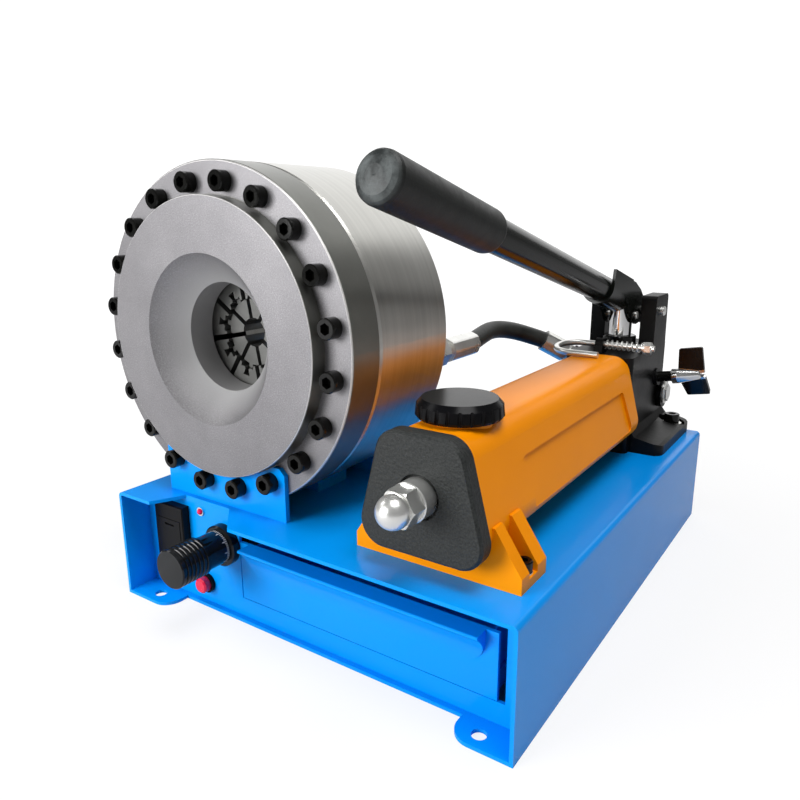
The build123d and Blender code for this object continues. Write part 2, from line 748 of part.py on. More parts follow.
def pump_tank():
    """Oil tank with recessed side panels, a filler neck and cast-on front feet."""
    tank = extrude(tank_section(2.5, TANK_REAR_Y), amount=TANK_REAR_Y - TANK_FRONT_Y)
    lean = math.degrees(math.atan((CAP_BOTTOM_HALF - CAP_TOP_HALF) / (CAP_TOP_Z - CAP_BOTTOM_Z)))
    recess_outline = [(-135, -20.5), (92, -20.5), (84, 20.5), (-143, 20.5)]
    for side in (-1, 1):
        recess = side_prism(recess_outline, min(0, side * 30), max(0, side * 30))
        recess = fillet(recess.edges().filter_by(Axis.X), 4)
        tank -= Pos(PUMP_X + side * 39.0, 0, 151.5) * Rot(0, -side * lean, 0) * recess
    front_wall = [(-66.7, BASE_H), (66.7, BASE_H), (66.7, 111.5), (46.5, 142), (-46.5, 142), (-66.7, 111.5)]
    front_wall = [(PUMP_X + x, z) for x, z in front_wall]
    tank += front_prism(front_wall, -204, -192.5)
    tank += front_prism(front_wall, -179.0, -165)
    tank += block(PUMP_X - 66.7, PUMP_X + 66.7, -204, -165, BASE_H, 107)
    tank += block(PUMP_X - 46, PUMP_X + 46, -204, -165, BASE_H, 122)
    tank += rod_z(PUMP_X, FILLER_Y, 24, TANK_TOP_Z - 4, TANK_TOP_Z + 3.5)
    tank -= rod_y(PUMP_X, TIE_ROD_Z, TIE_ROD_R + 0.2, TANK_FRONT_Y - 1, TANK_REAR_Y + 1)
    for x in (-FRONT_FOOT_X, FRONT_FOOT_X):
        tank -= rod_z(PUMP_X + x, FRONT_FOOT_Y, 4.5, BASE_H - 1, 108)
    return tank


def tank_end_cap():
    """Moulded end cap of the tank, with a stepped face."""
    cap = extrude(tank_section(0, TANK_FRONT_Y), amount=TANK_FRONT_Y - CAP_FRONT_Y)
    cap = chamfer(cap.edges().group_by(Axis.Y)[0], 2.0)
    cap -= rod_y(PUMP_X, TIE_ROD_Z, NUT_RECESS_R, CAP_FRONT_Y - 1, CAP_FRONT_Y + NUT_RECESS_DEPTH)
    return cap - rod_y(PUMP_X, TIE_ROD_Z, TIE_ROD_R + 0.2, CAP_FRONT_Y - 1, TANK_FRONT_Y + 1)


def tie_rod():
    """Long stud that clamps the tank to the pump body."""
    return rod_y(PUMP_X, TIE_ROD_Z, TIE_ROD_R, NUT_SEAT_Y - 16, TANK_REAR_Y + 25)


def nut_washers():
    """Seal washer in the end cap's recess and the spacer under the domed nut."""
    seal_rear = CAP_FRONT_Y + NUT_RECESS_DEPTH
    seal_front = seal_rear - 3
    inner = TIE_ROD_R + 0.1
    seal = [(inner, seal_front), (13.2, seal_front), (13.2, seal_rear), (inner, seal_rear)]
    spacer = [
        (inner, NUT_SEAT_Y),
        (13.2, NUT_SEAT_Y),
        (14.0, NUT_SEAT_Y + 0.8),
        (14.0, seal_front),
        (inner, seal_front),
    ]
    return Compound([turned(PUMP_X, TIE_ROD_Z, seal), turned(PUMP_X, TIE_ROD_Z, spacer)])


def domed_nut():
    """Domed cap nut on the tie rod."""
    y = NUT_SEAT_Y
    nut = hexagon_y(PUMP_X, TIE_ROD_Z, 24.0, y - 13, y)
    crown = turned(PUMP_X, TIE_ROD_Z, [(0, y - 14.5), (12.4, y - 14.5), (13.9, y - 11.5), (13.9, y), (0, y)])
    nut = nut & crown
    dome = Pos(PUMP_X, y - 16, TIE_ROD_Z) * Sphere(11.7)
    nut += dome & block(PUMP_X - 20, PUMP_X + 20, y - 40, y - 12, TIE_ROD_Z - 20, TIE_ROD_Z + 20)
    return nut - rod_y(PUMP_X, TIE_ROD_Z, TIE_ROD_R, y - 16, y + 1)


def filler_cap():
    """Screw cap of the filler neck, with grip ribs round its skirt."""
    low = TANK_TOP_Z + 2.4
    profile = [
        (0, low + 1.5),
        (24.6, low + 1.5),
        (24.6, low),
        (30.0, low),
        (31.4, low + 2.0),
        (30.6, low + 9.5),
        (27.0, low + 13.6),
        (0, low + 13.6),
    ]
    face = make_face(Polyline(*[(PUMP_X + r, FILLER_Y, z) for r, z in profile], close=True))
    cap = revolve(face, Axis((PUMP_X, FILLER_Y, 0), (0, 0, 1)), 360)
    for index in range(24):
        cap -= Pos(PUMP_X, FILLER_Y, low + 7.5) * Rot(0, 0, index * 15) * Pos(31.6, 0, 0) * Cylinder(1.7, 20)
    return cap


# ---------------------------------------------------------------- pump body
def valve_plane():
    """Plane at the body's right wall, facing out along the valve stem, with X upwards."""
    pitch = math.radians(VALVE_PITCH)
    return Plane(
        origin=(PUMP_X + BODY_HALF_W, VALVE_Y, VALVE_Z),
        x_dir=(-math.sin(pitch), 0, math.cos(pitch)),
        z_dir=(math.cos(pitch), 0, math.sin(pitch)),
    )


def valve_rod(radius, start, end):
    """A cylinder on the valve's axis, between two distances from the body's wall."""
    return valve_plane() * (Pos(0, 0, (start + end) / 2) * Cylinder(radius, end - start))


def pump_body():
    """Cast pump body with its two ears, rear foot, valve boss and hose port."""
    left = PUMP_X - BODY_HALF_W
    right = PUMP_X + BODY_HALF_W
    body = block(left, right, TANK_REAR_Y, BODY_REAR_Y, BASE_H, BODY_TOP_Z)
    body = fillet(body.edges().filter_by(Axis.Z), 5)
    ear_side = [
        (EAR_FRONT_Y, BODY_TOP_Z - 30),
        (EAR_REAR_Y + 4, BODY_TOP_Z - 30),
        (EAR_REAR_Y, EAR_TOP_Z),
        (EAR_FRONT_Y, EAR_TOP_Z),
    ]
    for side in (-1, 1):
        inner = PUMP_X + side * EAR_INNER
        outer = PUMP_X + side * BODY_HALF_W
        ear = side_prism(ear_side, min(inner, outer), max(inner, outer))
        top = ear.edges().filter_by(Axis.X).group_by(Axis.Z)[-1]
        ear = fillet(top, 5)
        body += ear
    body += rod_z(PUMP_X, PLUNGER_Y, 19.0, BODY_TOP_Z - 5, BODY_TOP_Z + 5)
    foot_section = [
        (-REAR_FOOT_HALF_W, BASE_H),
        (REAR_FOOT_HALF_W, BASE_H),
        (REAR_FOOT_HALF_W, BASE_H + 10.0),
        (64.0, BASE_H + 11.5),
        (40.0, BASE_H + 16.2),
        (34.0, BASE_H + 24.0),
        (-34.0, BASE_H + 24.0),
        (-40.0, BASE_H + 16.2),
        (-64.0, BASE_H + 11.5),
        (-REAR_FOOT_HALF_W, BASE_H + 10.0),
    ]
    foot = front_prism([(PUMP_X + x, z) for x, z in foot_section], 122, 242)
    corners = [e for e in foot.edges().filter_by(Axis.Z) if abs(e.center().X - PUMP_X) > REAR_FOOT_HALF_W - 1]
    foot = fillet(corners, 11)
    for x in (-REAR_FOOT_X, REAR_FOOT_X):
        foot -= rod_z(PUMP_X + x, REAR_FOOT_Y, 14, BASE_H + 9.0, BASE_H + 30)
        foot -= rod_z(PUMP_X + x, REAR_FOOT_Y, 5.5, BASE_H - 1, BASE_H + 10)
    body += foot
    body += valve_rod(9.5, -5, 3)
    body += rod_x(PLUG_Y, PLUG_Z, 16.5, right - 5, right + PLUG_BOSS_H)
    body -= valve_rod(VALVE_STEM_R + RUNNING, -25, 5)
    body -= rod_y(PUMP_X, TIE_ROD_Z, TIE_ROD_R, TANK_REAR_Y - 1, TANK_REAR_Y + 25)
    body -= rod_z(PUMP_X, PLUNGER_Y, PLUNGER_R + RUNNING, 122, BODY_TOP_Z + 6)
    body -= rod_x(FULCRUM_Y, FULCRUM_Z, FULCRUM_R, left - 1, right + 1)
    lug_outline = [(124, BODY_TOP_Z - 2), (142, BODY_TOP_Z - 2), (139.5, HOOK_Z), (126.5, HOOK_Z)]
    lug = side_prism(lug_outline, PUMP_X - 9, PUMP_X - 1)
    body += lug + rod_x(HOOK_Y, HOOK_Z, 6.5, PUMP_X - 9, PUMP_X - 1)
    body -= rod_x(HOOK_Y, HOOK_Z, HOOK_ROD_R + RUNNING, PUMP_X - 20, PUMP_X + 10)
    return body + pump_port_boss()


def port_plane(distance):
    """Plane across the pump port, at a distance past the ferrule's end."""
    start = Vector(*PUMP_PORT_START)
    end = Vector(*PUMP_PORT_END)
    direction = (end - start).normalized()
    return Plane(origin=end + direction * distance, z_dir=direction)


def pump_port_boss():
    """Inclined boss on the body's left wall that takes the hose fitting."""
    return port_plane(9.5) * (Pos(0, 0, 11) * Cylinder(12, 22))


def plunger_gland():
    """Gland nut round the plunger."""
    ring = rod_z(PUMP_X, PLUNGER_Y, 17.5, BODY_TOP_Z + 5, BODY_TOP_Z + 13)
    ring = chamfer(ring.edges().group_by(Axis.Z)[-1], 1.2)
    return ring - rod_z(PUMP_X, PLUNGER_Y, PLUNGER_R + RUNNING, BODY_TOP_Z, BODY_TOP_Z + 20)


def plunger():
    """Polished plunger with a cross slot for the crosshead pin."""
    bar = rod_z(PUMP_X, PLUNGER_Y, PLUNGER_R, 135, CROSSHEAD_Z + 9)
    bar = chamfer(bar.edges().group_by(Axis.Z)[-1], 1.0)
    slot = rod_x(PLUNGER_Y - 3.2, CROSSHEAD_Z, CROSSHEAD_R + 0.7, PUMP_X - 15, PUMP_X + 15)
    slot += rod_x(PLUNGER_Y + 3.2, CROSSHEAD_Z, CROSSHEAD_R + 0.7, PUMP_X - 15, PUMP_X + 15)
    reach = CROSSHEAD_R + 0.7
    slot += block(
        PUMP_X - 15, PUMP_X + 15, PLUNGER_Y - 3.2, PLUNGER_Y + 3.2, CROSSHEAD_Z - reach, CROSSHEAD_Z + reach
    )
    return bar - slot


def lever_axis_z(y):
    """Height of the lever tube's axis at y."""
    return LEVER_FRONT_Z - LEVER_SLOPE * (y - LEVER_FRONT_Y)


def lever_plane(y):
    """Plane across the lever tube at y, facing backwards along the tube."""
    return Plane(origin=(PUMP_X, y, lever_axis_z(y)), x_dir=(1, 0, 0), z_dir=(0, 1, -LEVER_SLOPE))


def lever_tube():
    """Steel tube of the lever."""
    length = (150 - LEVER_FRONT_Y) * math.hypot(1, LEVER_SLOPE) - GRIP_END_T
    tube = Cylinder(LEVER_TUBE_R, length) - Cylinder(LEVER_TUBE_R - 2.6, length + 2)
    return lever_plane(LEVER_FRONT_Y) * (Pos(0, 0, GRIP_END_T + length / 2) * tube)


def lever_grip():
    """Moulded rubber grip over the front end of the tube."""
    front_end = [(0, -0.9), (6.0, -0.5), (11.0, 0.5), (14.2, 2.2), (15.5, 4.0), (GRIP_R, 6.5)]
    rear_end = [(GRIP_R, GRIP_LENGTH - 4), (GRIP_R - 0.5, GRIP_LENGTH - 1.8), (GRIP_R - 1.5, GRIP_LENGTH - 0.4)]
    profile = front_end + rear_end
    profile += [(LEVER_TUBE_R, GRIP_LENGTH), (LEVER_TUBE_R, GRIP_END_T), (0, GRIP_END_T)]
    face = make_face(Polyline(*[(r, 0, z) for r, z in profile], close=True))
    grip = revolve(face, Axis.Z, 360)
    return lever_plane(LEVER_FRONT_Y) * grip


def lever_fork():
    """Channel that wraps the tube and carries both pins."""
    outer = LEVER_TUBE_R + FORK_T
    reach = 60.0
    channel = Cylinder(outer, reach) + Pos(0, 9, 0) * Box(2 * outer, 18, reach)
    channel -= Cylinder(LEVER_TUBE_R, reach + 2)
    channel -= Pos(0, 12, 0) * Box(2 * LEVER_TUBE_R, 24, reach + 2)
    fork = lever_plane(FORK_FRONT_Y) * Rot(0, 0, 180) * Pos(0, 0, reach / 2) * channel
    cheek = [
        (FORK_FRONT_Y + 40, lever_axis_z(FORK_FRONT_Y + 40) + 17.4),
        (170, lever_axis_z(170) + 17.4),
        (190, lever_axis_z(190) + 13.0),
        (206, lever_axis_z(206) + 5.0),
        (217, 240),
        (214, 227),
        (204, 223),
        (190, 225),
        (180, 224.2),
        (171, 227),
        (160, 238),
        (FORK_FRONT_Y + 40, lever_axis_z(FORK_FRONT_Y + 40) - 6),
    ]
    for side in (-1, 1):
        inner = PUMP_X + side * LEVER_TUBE_R
        outer_x = PUMP_X + side * outer
        fork += side_prism(cheek, min(inner, outer_x), max(inner, outer_x))
    fork -= rod_x(FULCRUM_Y, FULCRUM_Z, FULCRUM_R + RUNNING, PUMP_X - 20, PUMP_X + 20)
    fork -= rod_x(PLUNGER_Y, CROSSHEAD_Z, CROSSHEAD_R, PUMP_X - 20, PUMP_X + 20)
    return fork


def fulcrum_pin():
    """Pin through the ears that the lever turns on."""
    pin = rod_x(FULCRUM_Y, FULCRUM_Z, FULCRUM_R, PUMP_X - 39.5, PUMP_X + 39.5)
    return chamfer(pin.edges().group_by(Axis.X)[0] + pin.edges().group_by(Axis.X)[-1], 1.0)


def crosshead_pin():
    """Pin that joins the lever to the plunger."""
    pin = rod_x(PLUNGER_Y, CROSSHEAD_Z, CROSSHEAD_R, PUMP_X - 18.0, PUMP_X + 18.0)
    return chamfer(pin.edges().group_by(Axis.X)[0] + pin.edges().group_by(Axis.X)[-1], 0.8)


def valve_stem():
    """Release valve stem."""
    return valve_rod(VALVE_STEM_R, -22, 21)


def valve_knob():
    """Knob on the release valve stem: a tapered hub with two bent-back wings."""
    hub_profile = [
        (0, 21),
        (VALVE_STEM_R, 21),
        (VALVE_STEM_R, 18.5),
        (8.5, 18.5),
        (8.5, 24),
        (5.0, 46),
        (3.5, 47.5),
        (0, 47.5),
    ]
    hub_face = make_face(Polyline(*[(r, 0, z) for r, z in hub_profile], close=True))
    knob = revolve(hub_face, Axis.Z, 360)
    for angle in VALVE_WINGS:
        wing_face = make_face(Polyline((2, 2.3, 24.5), (2, 2.3, 51.5), (29.5, 2.3, 51.5), (29.5, 2.3, 28), close=True))
        wing = extrude(wing_face, amount=4.6, dir=(0, -1, 0))
        tips = [e for e in wing.edges().filter_by(Axis.Y) if e.center().X > 20]
        knob += Rot(0, 0, angle) * fillet(tips, 1.8)
    return valve_plane() * knob


def relief_plug():
    """Hexagon plug over the relief valve."""
    plane = Plane(origin=(PUMP_X + BODY_HALF_W + PLUG_BOSS_H, PLUG_Y, PLUG_Z), z_dir=(1, 0, 0))
    head = extrude(plane * RegularPolygon(8.5, 6, major_radius=False), amount=4.2)
    flange = plane * (Pos(0, 0, 0.75) * Cylinder(12.5, 1.5))
    return head + flange


def mount_screws():
    """Screws of the pump's feet."""
    screws = []
    for x in (PUMP_X - FRONT_FOOT_X, PUMP_X + FRONT_FOOT_X):
        screws.append(socket_screw(x, FRONT_FOOT_Y, 108.2, (0, 0, 1), 4.0, 14, 6.5, 8.0, 6.0))
    for x in (PUMP_X - REAR_FOOT_X, PUMP_X + REAR_FOOT_X):
        screws.append(socket_screw(x, REAR_FOOT_Y, 111, (0, 0, 1), M10_R, 16, M10_HEAD_R, M10_HEAD_H, M10_HEX))
    return Compound(screws)


def mount_washers():
    """Washers under the foot screws."""
    washers = []
    for x in (PUMP_X - FRONT_FOOT_X, PUMP_X + FRONT_FOOT_X):
        washers.append(rod_z(x, FRONT_FOOT_Y, 6.7, 107, 108.2) - rod_z(x, FRONT_FOOT_Y, 4.2, 106, 109))
    for x in (PUMP_X - REAR_FOOT_X, PUMP_X + REAR_FOOT_X):
        washers.append(rod_z(x, REAR_FOOT_Y, 10.5, 109, 111) - rod_z(x, REAR_FOOT_Y, 5.2, 108, 112))
    return Compound(washers)


# ---------------------------------------------------------------- hold-down hook
def hook_rod():
    """Bent hook of the lever hold-down."""
    drop = HOOK_Z - HOOK_FRONT_Z
    span = HOOK_Y - HOOK_FRONT_Y
    bend_r = math.hypot(drop, span) / 2
    turn_x = 93.5
    rear = Vector(turn_x, HOOK_Y, HOOK_Z)
    front = Vector(turn_x, HOOK_FRONT_Y, HOOK_FRONT_Z)
    middle = (rear + front) * 0.5 + Vector(-bend_r, 0, 0)
    path = Line((PUMP_X + 50, HOOK_Y, HOOK_Z), rear) + ThreePointArc(rear, middle, front)
    path += Line(front, (122, HOOK_FRONT_Y, HOOK_FRONT_Z))
    section = Plane(origin=(PUMP_X + 50, HOOK_Y, HOOK_Z), z_dir=(-1, 0, 0)) * Circle(HOOK_ROD_R)
    return sweep(section, path=path)


def hook_nut():
    """End nut and washer that hold the hook's spring."""
    x = PUMP_X + 39
    nut_plane = Plane(origin=(x + 2, HOOK_Y, HOOK_Z), z_dir=(1, 0, 0))
    nut = extrude(nut_plane * RegularPolygon(5.5, 6, major_radius=False), amount=6)
    washer = rod_x(HOOK_Y, HOOK_Z, 6.0, x, x + 2)
    return (nut + washer) - rod_x(HOOK_Y, HOOK_Z, HOOK_ROD_R + RUNNING, x - 1, x + 12)


def hook_spring():
    """Compression spring between the lug and the end washer."""
    wire_r = 0.75
    x0 = PUMP_X - 1 + wire_r
    x1 = PUMP_X + 39 - wire_r
    helix = Helix(pitch=5.0, height=x1 - x0, radius=4.3, center=(0, 0, 0), direction=(0, 0, 1))
    section = Plane(origin=helix @ 0, z_dir=helix % 0) * Circle(wire_r)
    coil = sweep(section, path=helix)
    return Pos(x0, HOOK_Y, HOOK_Z) * Rot(0, 90, 0) * coil


# ---------------------------------------------------------------- hose
def hose_path():
    """Hose centre line: straight runs joined by tangent arcs."""
    points = [Vector(*p) for p in HOSE_ROUTE]
    radii = []
    for before, here, after in zip(points, points[1:], points[2:]):
        turn = math.radians((here - before).get_angle(after - here))
        shorter = min((here - before).length, (after - here).length)
        radii.append(0.45 * shorter / math.tan(turn / 2))
    print("hose radii", [round(r, 1) for r in radii])
    return FilletPolyline(*points, radius=radii)


def hose():
    """Pressure hose between the pump and the crimp head."""
    path = hose_path()
    section = Plane(origin=path @ 0, z_dir=path % 0) * Circle(HOSE_R)
    tube = sweep(section, path=path)
    ratio = tube.volume / (path.length * math.pi * HOSE_R**2)
    print("hose length", round(path.length, 1), "volume ratio", round(ratio, 4))
    return tube


def ferrule(plane, length):
    """Crimped ferrule with eight pressed flats, standing on a plane."""
    shell = extrude(RegularPolygon(FERRULE_R, 8, major_radius=False), amount=length)
    shell = shell & (Pos(0, 0, length / 2) * Cylinder(FERRULE_R + 0.5, length))
    return plane * shell


def head_ferrule():
    """Ferrule at the head's end of the hose."""
    return ferrule(Plane(origin=(PORT_X, -28, PORT_Z), z_dir=(0, 1, 0)), FERRULE_END_Y + 28) - hose()


def head_fitting():
    """Adapter and swivel nut in the head's oil port."""
    parts = rod_y(PORT_X, PORT_Z, 6.0, CYLINDER_REAR_Y - 8, CYLINDER_REAR_Y)
    parts += hexagon_y(PORT_X, PORT_Z, 22, CYLINDER_REAR_Y, CYLINDER_REAR_Y + 12)
    parts += rod_y(PORT_X, PORT_Z, 8.5, CYLINDER_REAR_Y + 12, CYLINDER_REAR_Y + 18)
    parts += hexagon_y(PORT_X, PORT_Z, 22, CYLINDER_REAR_Y + 18, CYLINDER_REAR_Y + 35)
    parts += rod_y(PORT_X, PORT_Z, 7.5, CYLINDER_REAR_Y + 35, -28)
    return parts


def pump_ferrule():
    """Ferrule at the pump's end of the hose."""
    start = Vector(*PUMP_PORT_START)
    end = Vector(*PUMP_PORT_END)
    direction = (end - start).normalized()
    return ferrule(Plane(origin=start, z_dir=direction), (end - start).length) - hose()


def pump_fitting():
    """Adapter between the pump ferrule and the body's port boss."""
    neck = port_plane(0) * (Pos(0, 0, 1.5) * Cylinder(7.5, 3))
    nut = extrude(port_plane(3) * RegularPolygon(9.8, 6, major_radius=False), amount=6.5)
    return neck + nut


# ---------------------------------------------------------------- build
def build_all():
    """Write every sub-part."""
    os.makedirs("parts", exist_ok=True)
    makers = [
        base_shell,
        front_panel,
        rear_panel,
        drawer_tray,
        drawer_front,
        drawer_runners,
        battery_box,
        battery_tray,
        button_switch,
        push_button,
        pilot_lamp,
        dial_sleeve,
        dial_thimble,
        dial_spindle,
        front_flange,
        cylinder_body,
        guide_sleeve,
        annular_piston,
        piston_seal,
        head_cradle,
        flange_screws,
        bracket_screws,
        pump_tank,
        tank_end_cap,
        tie_rod,
        nut_washers,
        domed_nut,
        filler_cap,
        pump_body,
        plunger_gland,
        plunger,
        lever_tube,
        lever_grip,
        lever_fork,
        fulcrum_pin,
        crosshead_pin,
        valve_stem,
        valve_knob,
        relief_plug,
        mount_screws,
        mount_washers,
        hook_rod,
        hook_nut,
        hook_spring,
        hose,
        head_ferrule,
        head_fitting,
        pump_ferrule,
        pump_fitting,
    ]
    for maker in makers:
        save(maker.__name__, maker())
    save("head_bracket_front", head_bracket(FLANGE_FRONT_Y - BRACKET_T, FLANGE_FRONT_Y))
    save("head_bracket_rear", head_bracket(CYLINDER_REAR_Y, CYLINDER_REAR_Y + BRACKET_T))
    for index in range(DIE_COUNT):
        save(f"die_{index + 1}", die(index))


build_all()
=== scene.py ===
# %% [markdown]
# # Hose crimping machine
# A hand-pumped bench machine: a sheet-steel base with a drawer, a round head that squeezes
# hose fittings between eight dies, and a lever pump that feeds the head through a short hose.
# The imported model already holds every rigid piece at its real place, so this lesson gives the
# pieces their finishes, softens their edges, models the hose and lights the scene.

# %% Load the fixed model
import json
import math

import bpy
from mathutils import Matrix, Vector


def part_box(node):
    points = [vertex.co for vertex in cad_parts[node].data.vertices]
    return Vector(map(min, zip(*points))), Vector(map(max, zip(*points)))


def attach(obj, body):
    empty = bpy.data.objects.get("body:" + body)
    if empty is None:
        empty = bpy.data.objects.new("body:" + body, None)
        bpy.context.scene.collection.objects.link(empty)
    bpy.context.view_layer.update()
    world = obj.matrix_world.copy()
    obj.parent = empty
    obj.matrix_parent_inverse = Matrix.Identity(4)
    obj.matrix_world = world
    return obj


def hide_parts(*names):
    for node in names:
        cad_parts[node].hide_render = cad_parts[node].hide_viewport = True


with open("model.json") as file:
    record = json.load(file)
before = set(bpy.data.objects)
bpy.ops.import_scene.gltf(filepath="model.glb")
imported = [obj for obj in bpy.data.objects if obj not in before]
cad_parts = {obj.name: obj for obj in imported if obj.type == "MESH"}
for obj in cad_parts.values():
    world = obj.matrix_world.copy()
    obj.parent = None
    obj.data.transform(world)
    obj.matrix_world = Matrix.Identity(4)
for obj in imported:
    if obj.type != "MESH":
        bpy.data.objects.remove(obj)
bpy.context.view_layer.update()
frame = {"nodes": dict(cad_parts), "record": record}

nodes = frame["nodes"]
MM = 0.001
print("pieces in the model:", len(nodes))

# %% [markdown]
# ## The camera
# A machine like this is shown on a table from the front right and a little above, so that the
# die throat, the controls and the pump are all seen at once. A camera can be aimed at a target,
# but a target always keeps it level. Three angles turn this one, which keeps the slight roll
# of a camera held by hand.

# %% Camera
VIEW_AZIMUTH = math.radians(34.42)
VIEW_ELEVATION = math.radians(14.585)
VIEW_ROLL = -0.0051
CAMERA_PLACE = Vector((0.3500, -0.5872, 0.3384))
LENS_MM = 32.0


def look_frame(azimuth, elevation, roll):
    """Rotation whose columns are the camera's right, up and backward directions."""
    back = Vector((
        math.sin(azimuth) * math.cos(elevation),
        -math.cos(azimuth) * math.cos(elevation),
        math.sin(elevation),
    ))
    level = Vector((math.cos(azimuth), math.sin(azimuth), 0.0))
    above = back.cross(level)
    right = level * math.cos(roll) + above * math.sin(roll)
    up = above * math.cos(roll) - level * math.sin(roll)
    return Matrix((right, up, back)).transposed()


camera_data = bpy.data.cameras.new("product_camera")
camera_data.lens = LENS_MM
camera_data.sensor_width = 36.0
camera_data.clip_start = 0.02
camera_data.clip_end = 30.0
camera = bpy.data.objects.new("product_camera", camera_data)
bpy.context.scene.collection.objects.link(camera)
turn = look_frame(VIEW_AZIMUTH, VIEW_ELEVATION, VIEW_ROLL)
camera.matrix_world = Matrix.Translation(CAMERA_PLACE) @ turn.to_4x4()
bpy.context.scene.camera = camera
print("camera stands", round(CAMERA_PLACE.length, 3), "m from the origin")

# %% [markdown]
# ## A board of nodes
# A material is a board of small nodes joined by links. It could be drawn by hand in the shader
# editor, but written down it can be repeated for every finish. Two helpers keep that short: one
# feeds an input with a number, a colour or another node's output, and one adds a whole node.

# %% Nodes and materials
def feed(tree, socket, value):
    """Links an output to an input, or sets the input to a number, a colour or a direction."""
    if isinstance(value, bpy.types.NodeSocket):
        tree.links.new(value, socket)
    elif socket.type == "RGBA":
        socket.default_value = (*value, 1.0)
    else:
        socket.default_value = value


def add_node(tree, kind, feeds, **settings):
    """Adds a node with its settings and feeds its inputs, which go by name or by number."""
    node = tree.nodes.new(kind)
    for key, value in settings.items():
        setattr(node, key, value)
    for key, value in feeds.items():
        feed(tree, node.inputs[key], value)
    return node


def new_material(name):
    """An empty node material and its board."""
    material = bpy.data.materials.new(name)
    material.use_nodes = True
    return material, material.node_tree


finishes = {}
print("finishes so far:", len(finishes))

# %% [markdown]
# ## Patterns
# Real surfaces are never even: their colour drifts and their shine varies. A painted picture
# could carry that, but a noise pattern needs no file, has no seam and is sharp at any distance.
# It reads object coordinates, which are fixed to the piece, so it never slides when the piece
# moves. A ramp turns the pattern into colours, and a remap turns it into a range of numbers.

# %% Pattern helpers
def on_piece(tree, scale=(1, 1, 1), offset=(0, 0, 0)):
    """The place on the piece, scaled and then moved."""
    source = add_node(tree, "ShaderNodeTexCoord", {})
    feeds = {"Vector": source.outputs["Object"], "Scale": scale, "Location": offset}
    return add_node(tree, "ShaderNodeMapping", feeds).outputs["Vector"]


def noise(tree, vector, scale, detail=4.0, roughness=0.55):
    """A soft random pattern between 0 and 1."""
    feeds = {"Vector": vector, "Scale": scale, "Detail": detail, "Roughness": roughness}
    return add_node(tree, "ShaderNodeTexNoise", feeds).outputs["Fac"]


def ramp(tree, factor, stops):
    """A colour ramp; stops are (position, colour or grey)."""
    node = add_node(tree, "ShaderNodeValToRGB", {"Fac": factor})
    elements = node.color_ramp.elements
    while len(elements) < len(stops):
        elements.new(0.5)
    for element, (position, colour) in zip(elements, stops):
        if not isinstance(colour, tuple):
            colour = (colour, colour, colour)
        element.position = position
        element.color = (*colour, 1.0)
    return node.outputs["Color"]


def remap(tree, value, low, high, start=0.3, stop=0.7):
    """Value from start..stop mapped to low..high."""
    feeds = {"Value": value, "From Min": start, "From Max": stop, "To Min": low, "To Max": high}
    return add_node(tree, "ShaderNodeMapRange", feeds).outputs["Result"]


print("patterns: place on the piece, noise, ramp, remap")

# %% [markdown]
# ## Onto the surface
# What a finish says in the end is short: its colour, how rough it is, how much of it is bare
# metal, how strongly it reflects and how its fine grain tilts the light. The grain could be
# modelled, but it is far finer than any mesh, so a bump carries it.

# %% Surface helpers
def bump(tree, height, strength, deep_mm):
    """Tilts the surface by a pattern of a given depth."""
    feeds = {"Height": height, "Strength": strength, "Distance": deep_mm * MM}
    tilt = add_node(tree, "ShaderNodeBump", feeds)
    feed(tree, tree.nodes["Principled BSDF"].inputs["Normal"], tilt.outputs["Normal"])


def surface(tree, colour, rough, metal=0.0, gloss=0.5):
    """Feeds the material's shader."""
    shader = tree.nodes["Principled BSDF"]
    feeds = {"Base Color": colour, "Roughness": rough, "Metallic": metal, "Specular IOR Level": gloss}
    for key, value in feeds.items():
        feed(tree, shader.inputs[key], value)


print("surface: colour, roughness, metal, gloss and bump")

# %% [markdown]
# ## Even finishes
# Paint, plating and plastic are much the same all over, so one recipe serves them and each
# finish gives its own numbers. Colour and roughness drift together in patches, as where a hand
# or a cloth has been, and a fine grain breaks up the reflections. `patch` and `grain` are how
# closely the pattern repeats, so a large number is a fine pattern.

# %% Recipe of an even finish
COAT_ROUGHNESS = 0.08


def even_finish(
    name, dark, light, rough, patch, grain, grain_mm, strength=0.5, metal=0.0, gloss=0.5, coat=0.0
):
    """A finish with drifting colour, drifting roughness and an even fine grain."""
    material, tree = new_material(name)
    vector = on_piece(tree)
    drift = noise(tree, vector, patch, 2.0)
    colour = ramp(tree, drift, [(0.2, dark), (0.8, light)])
    surface(tree, colour, remap(tree, drift, *rough, 0.15, 0.85), metal, gloss)
    bump(tree, noise(tree, vector, grain, 3.0), strength, grain_mm)
    shader = tree.nodes["Principled BSDF"]
    shader.inputs["Coat Weight"].default_value = coat
    shader.inputs["Coat Roughness"].default_value = COAT_ROUGHNESS
    return material


def add_even_finishes(recipes):
    """Makes a finish from each recipe, under its slot's name."""
    for slot, recipe in recipes.items():
        finishes[slot] = even_finish(**recipe)
        print(slot, "made as", finishes[slot].name)


print("recipe of an even finish, with a coat of roughness", COAT_ROUGHNESS)

# %% [markdown]
# ## Sprayed paint
# The base is a bright gloss blue and the pump's tank a softer orange. A plain glossy colour
# would look like plastic: sprayed paint keeps a shallow orange-peel ripple that breaks up what
# it mirrors, so the grain here is broad and weak.

# %% Blue and orange paint
add_even_finishes({
    "blue_paint": dict(
        name="blue_gloss_paint", dark=(0.0, 0.250, 0.76), light=(0.001, 0.285, 0.84),
        rough=(0.14, 0.22), patch=6.0, grain=160.0, grain_mm=0.04, strength=0.2, gloss=0.15,
    ),
    "orange_paint": dict(
        name="orange_gloss_paint", dark=(0.86, 0.262, 0.0), light=(0.94, 0.300, 0.001),
        rough=(0.28, 0.38), patch=9.0, grain=220.0, grain_mm=0.08, strength=0.3, gloss=0.08,
    ),
})

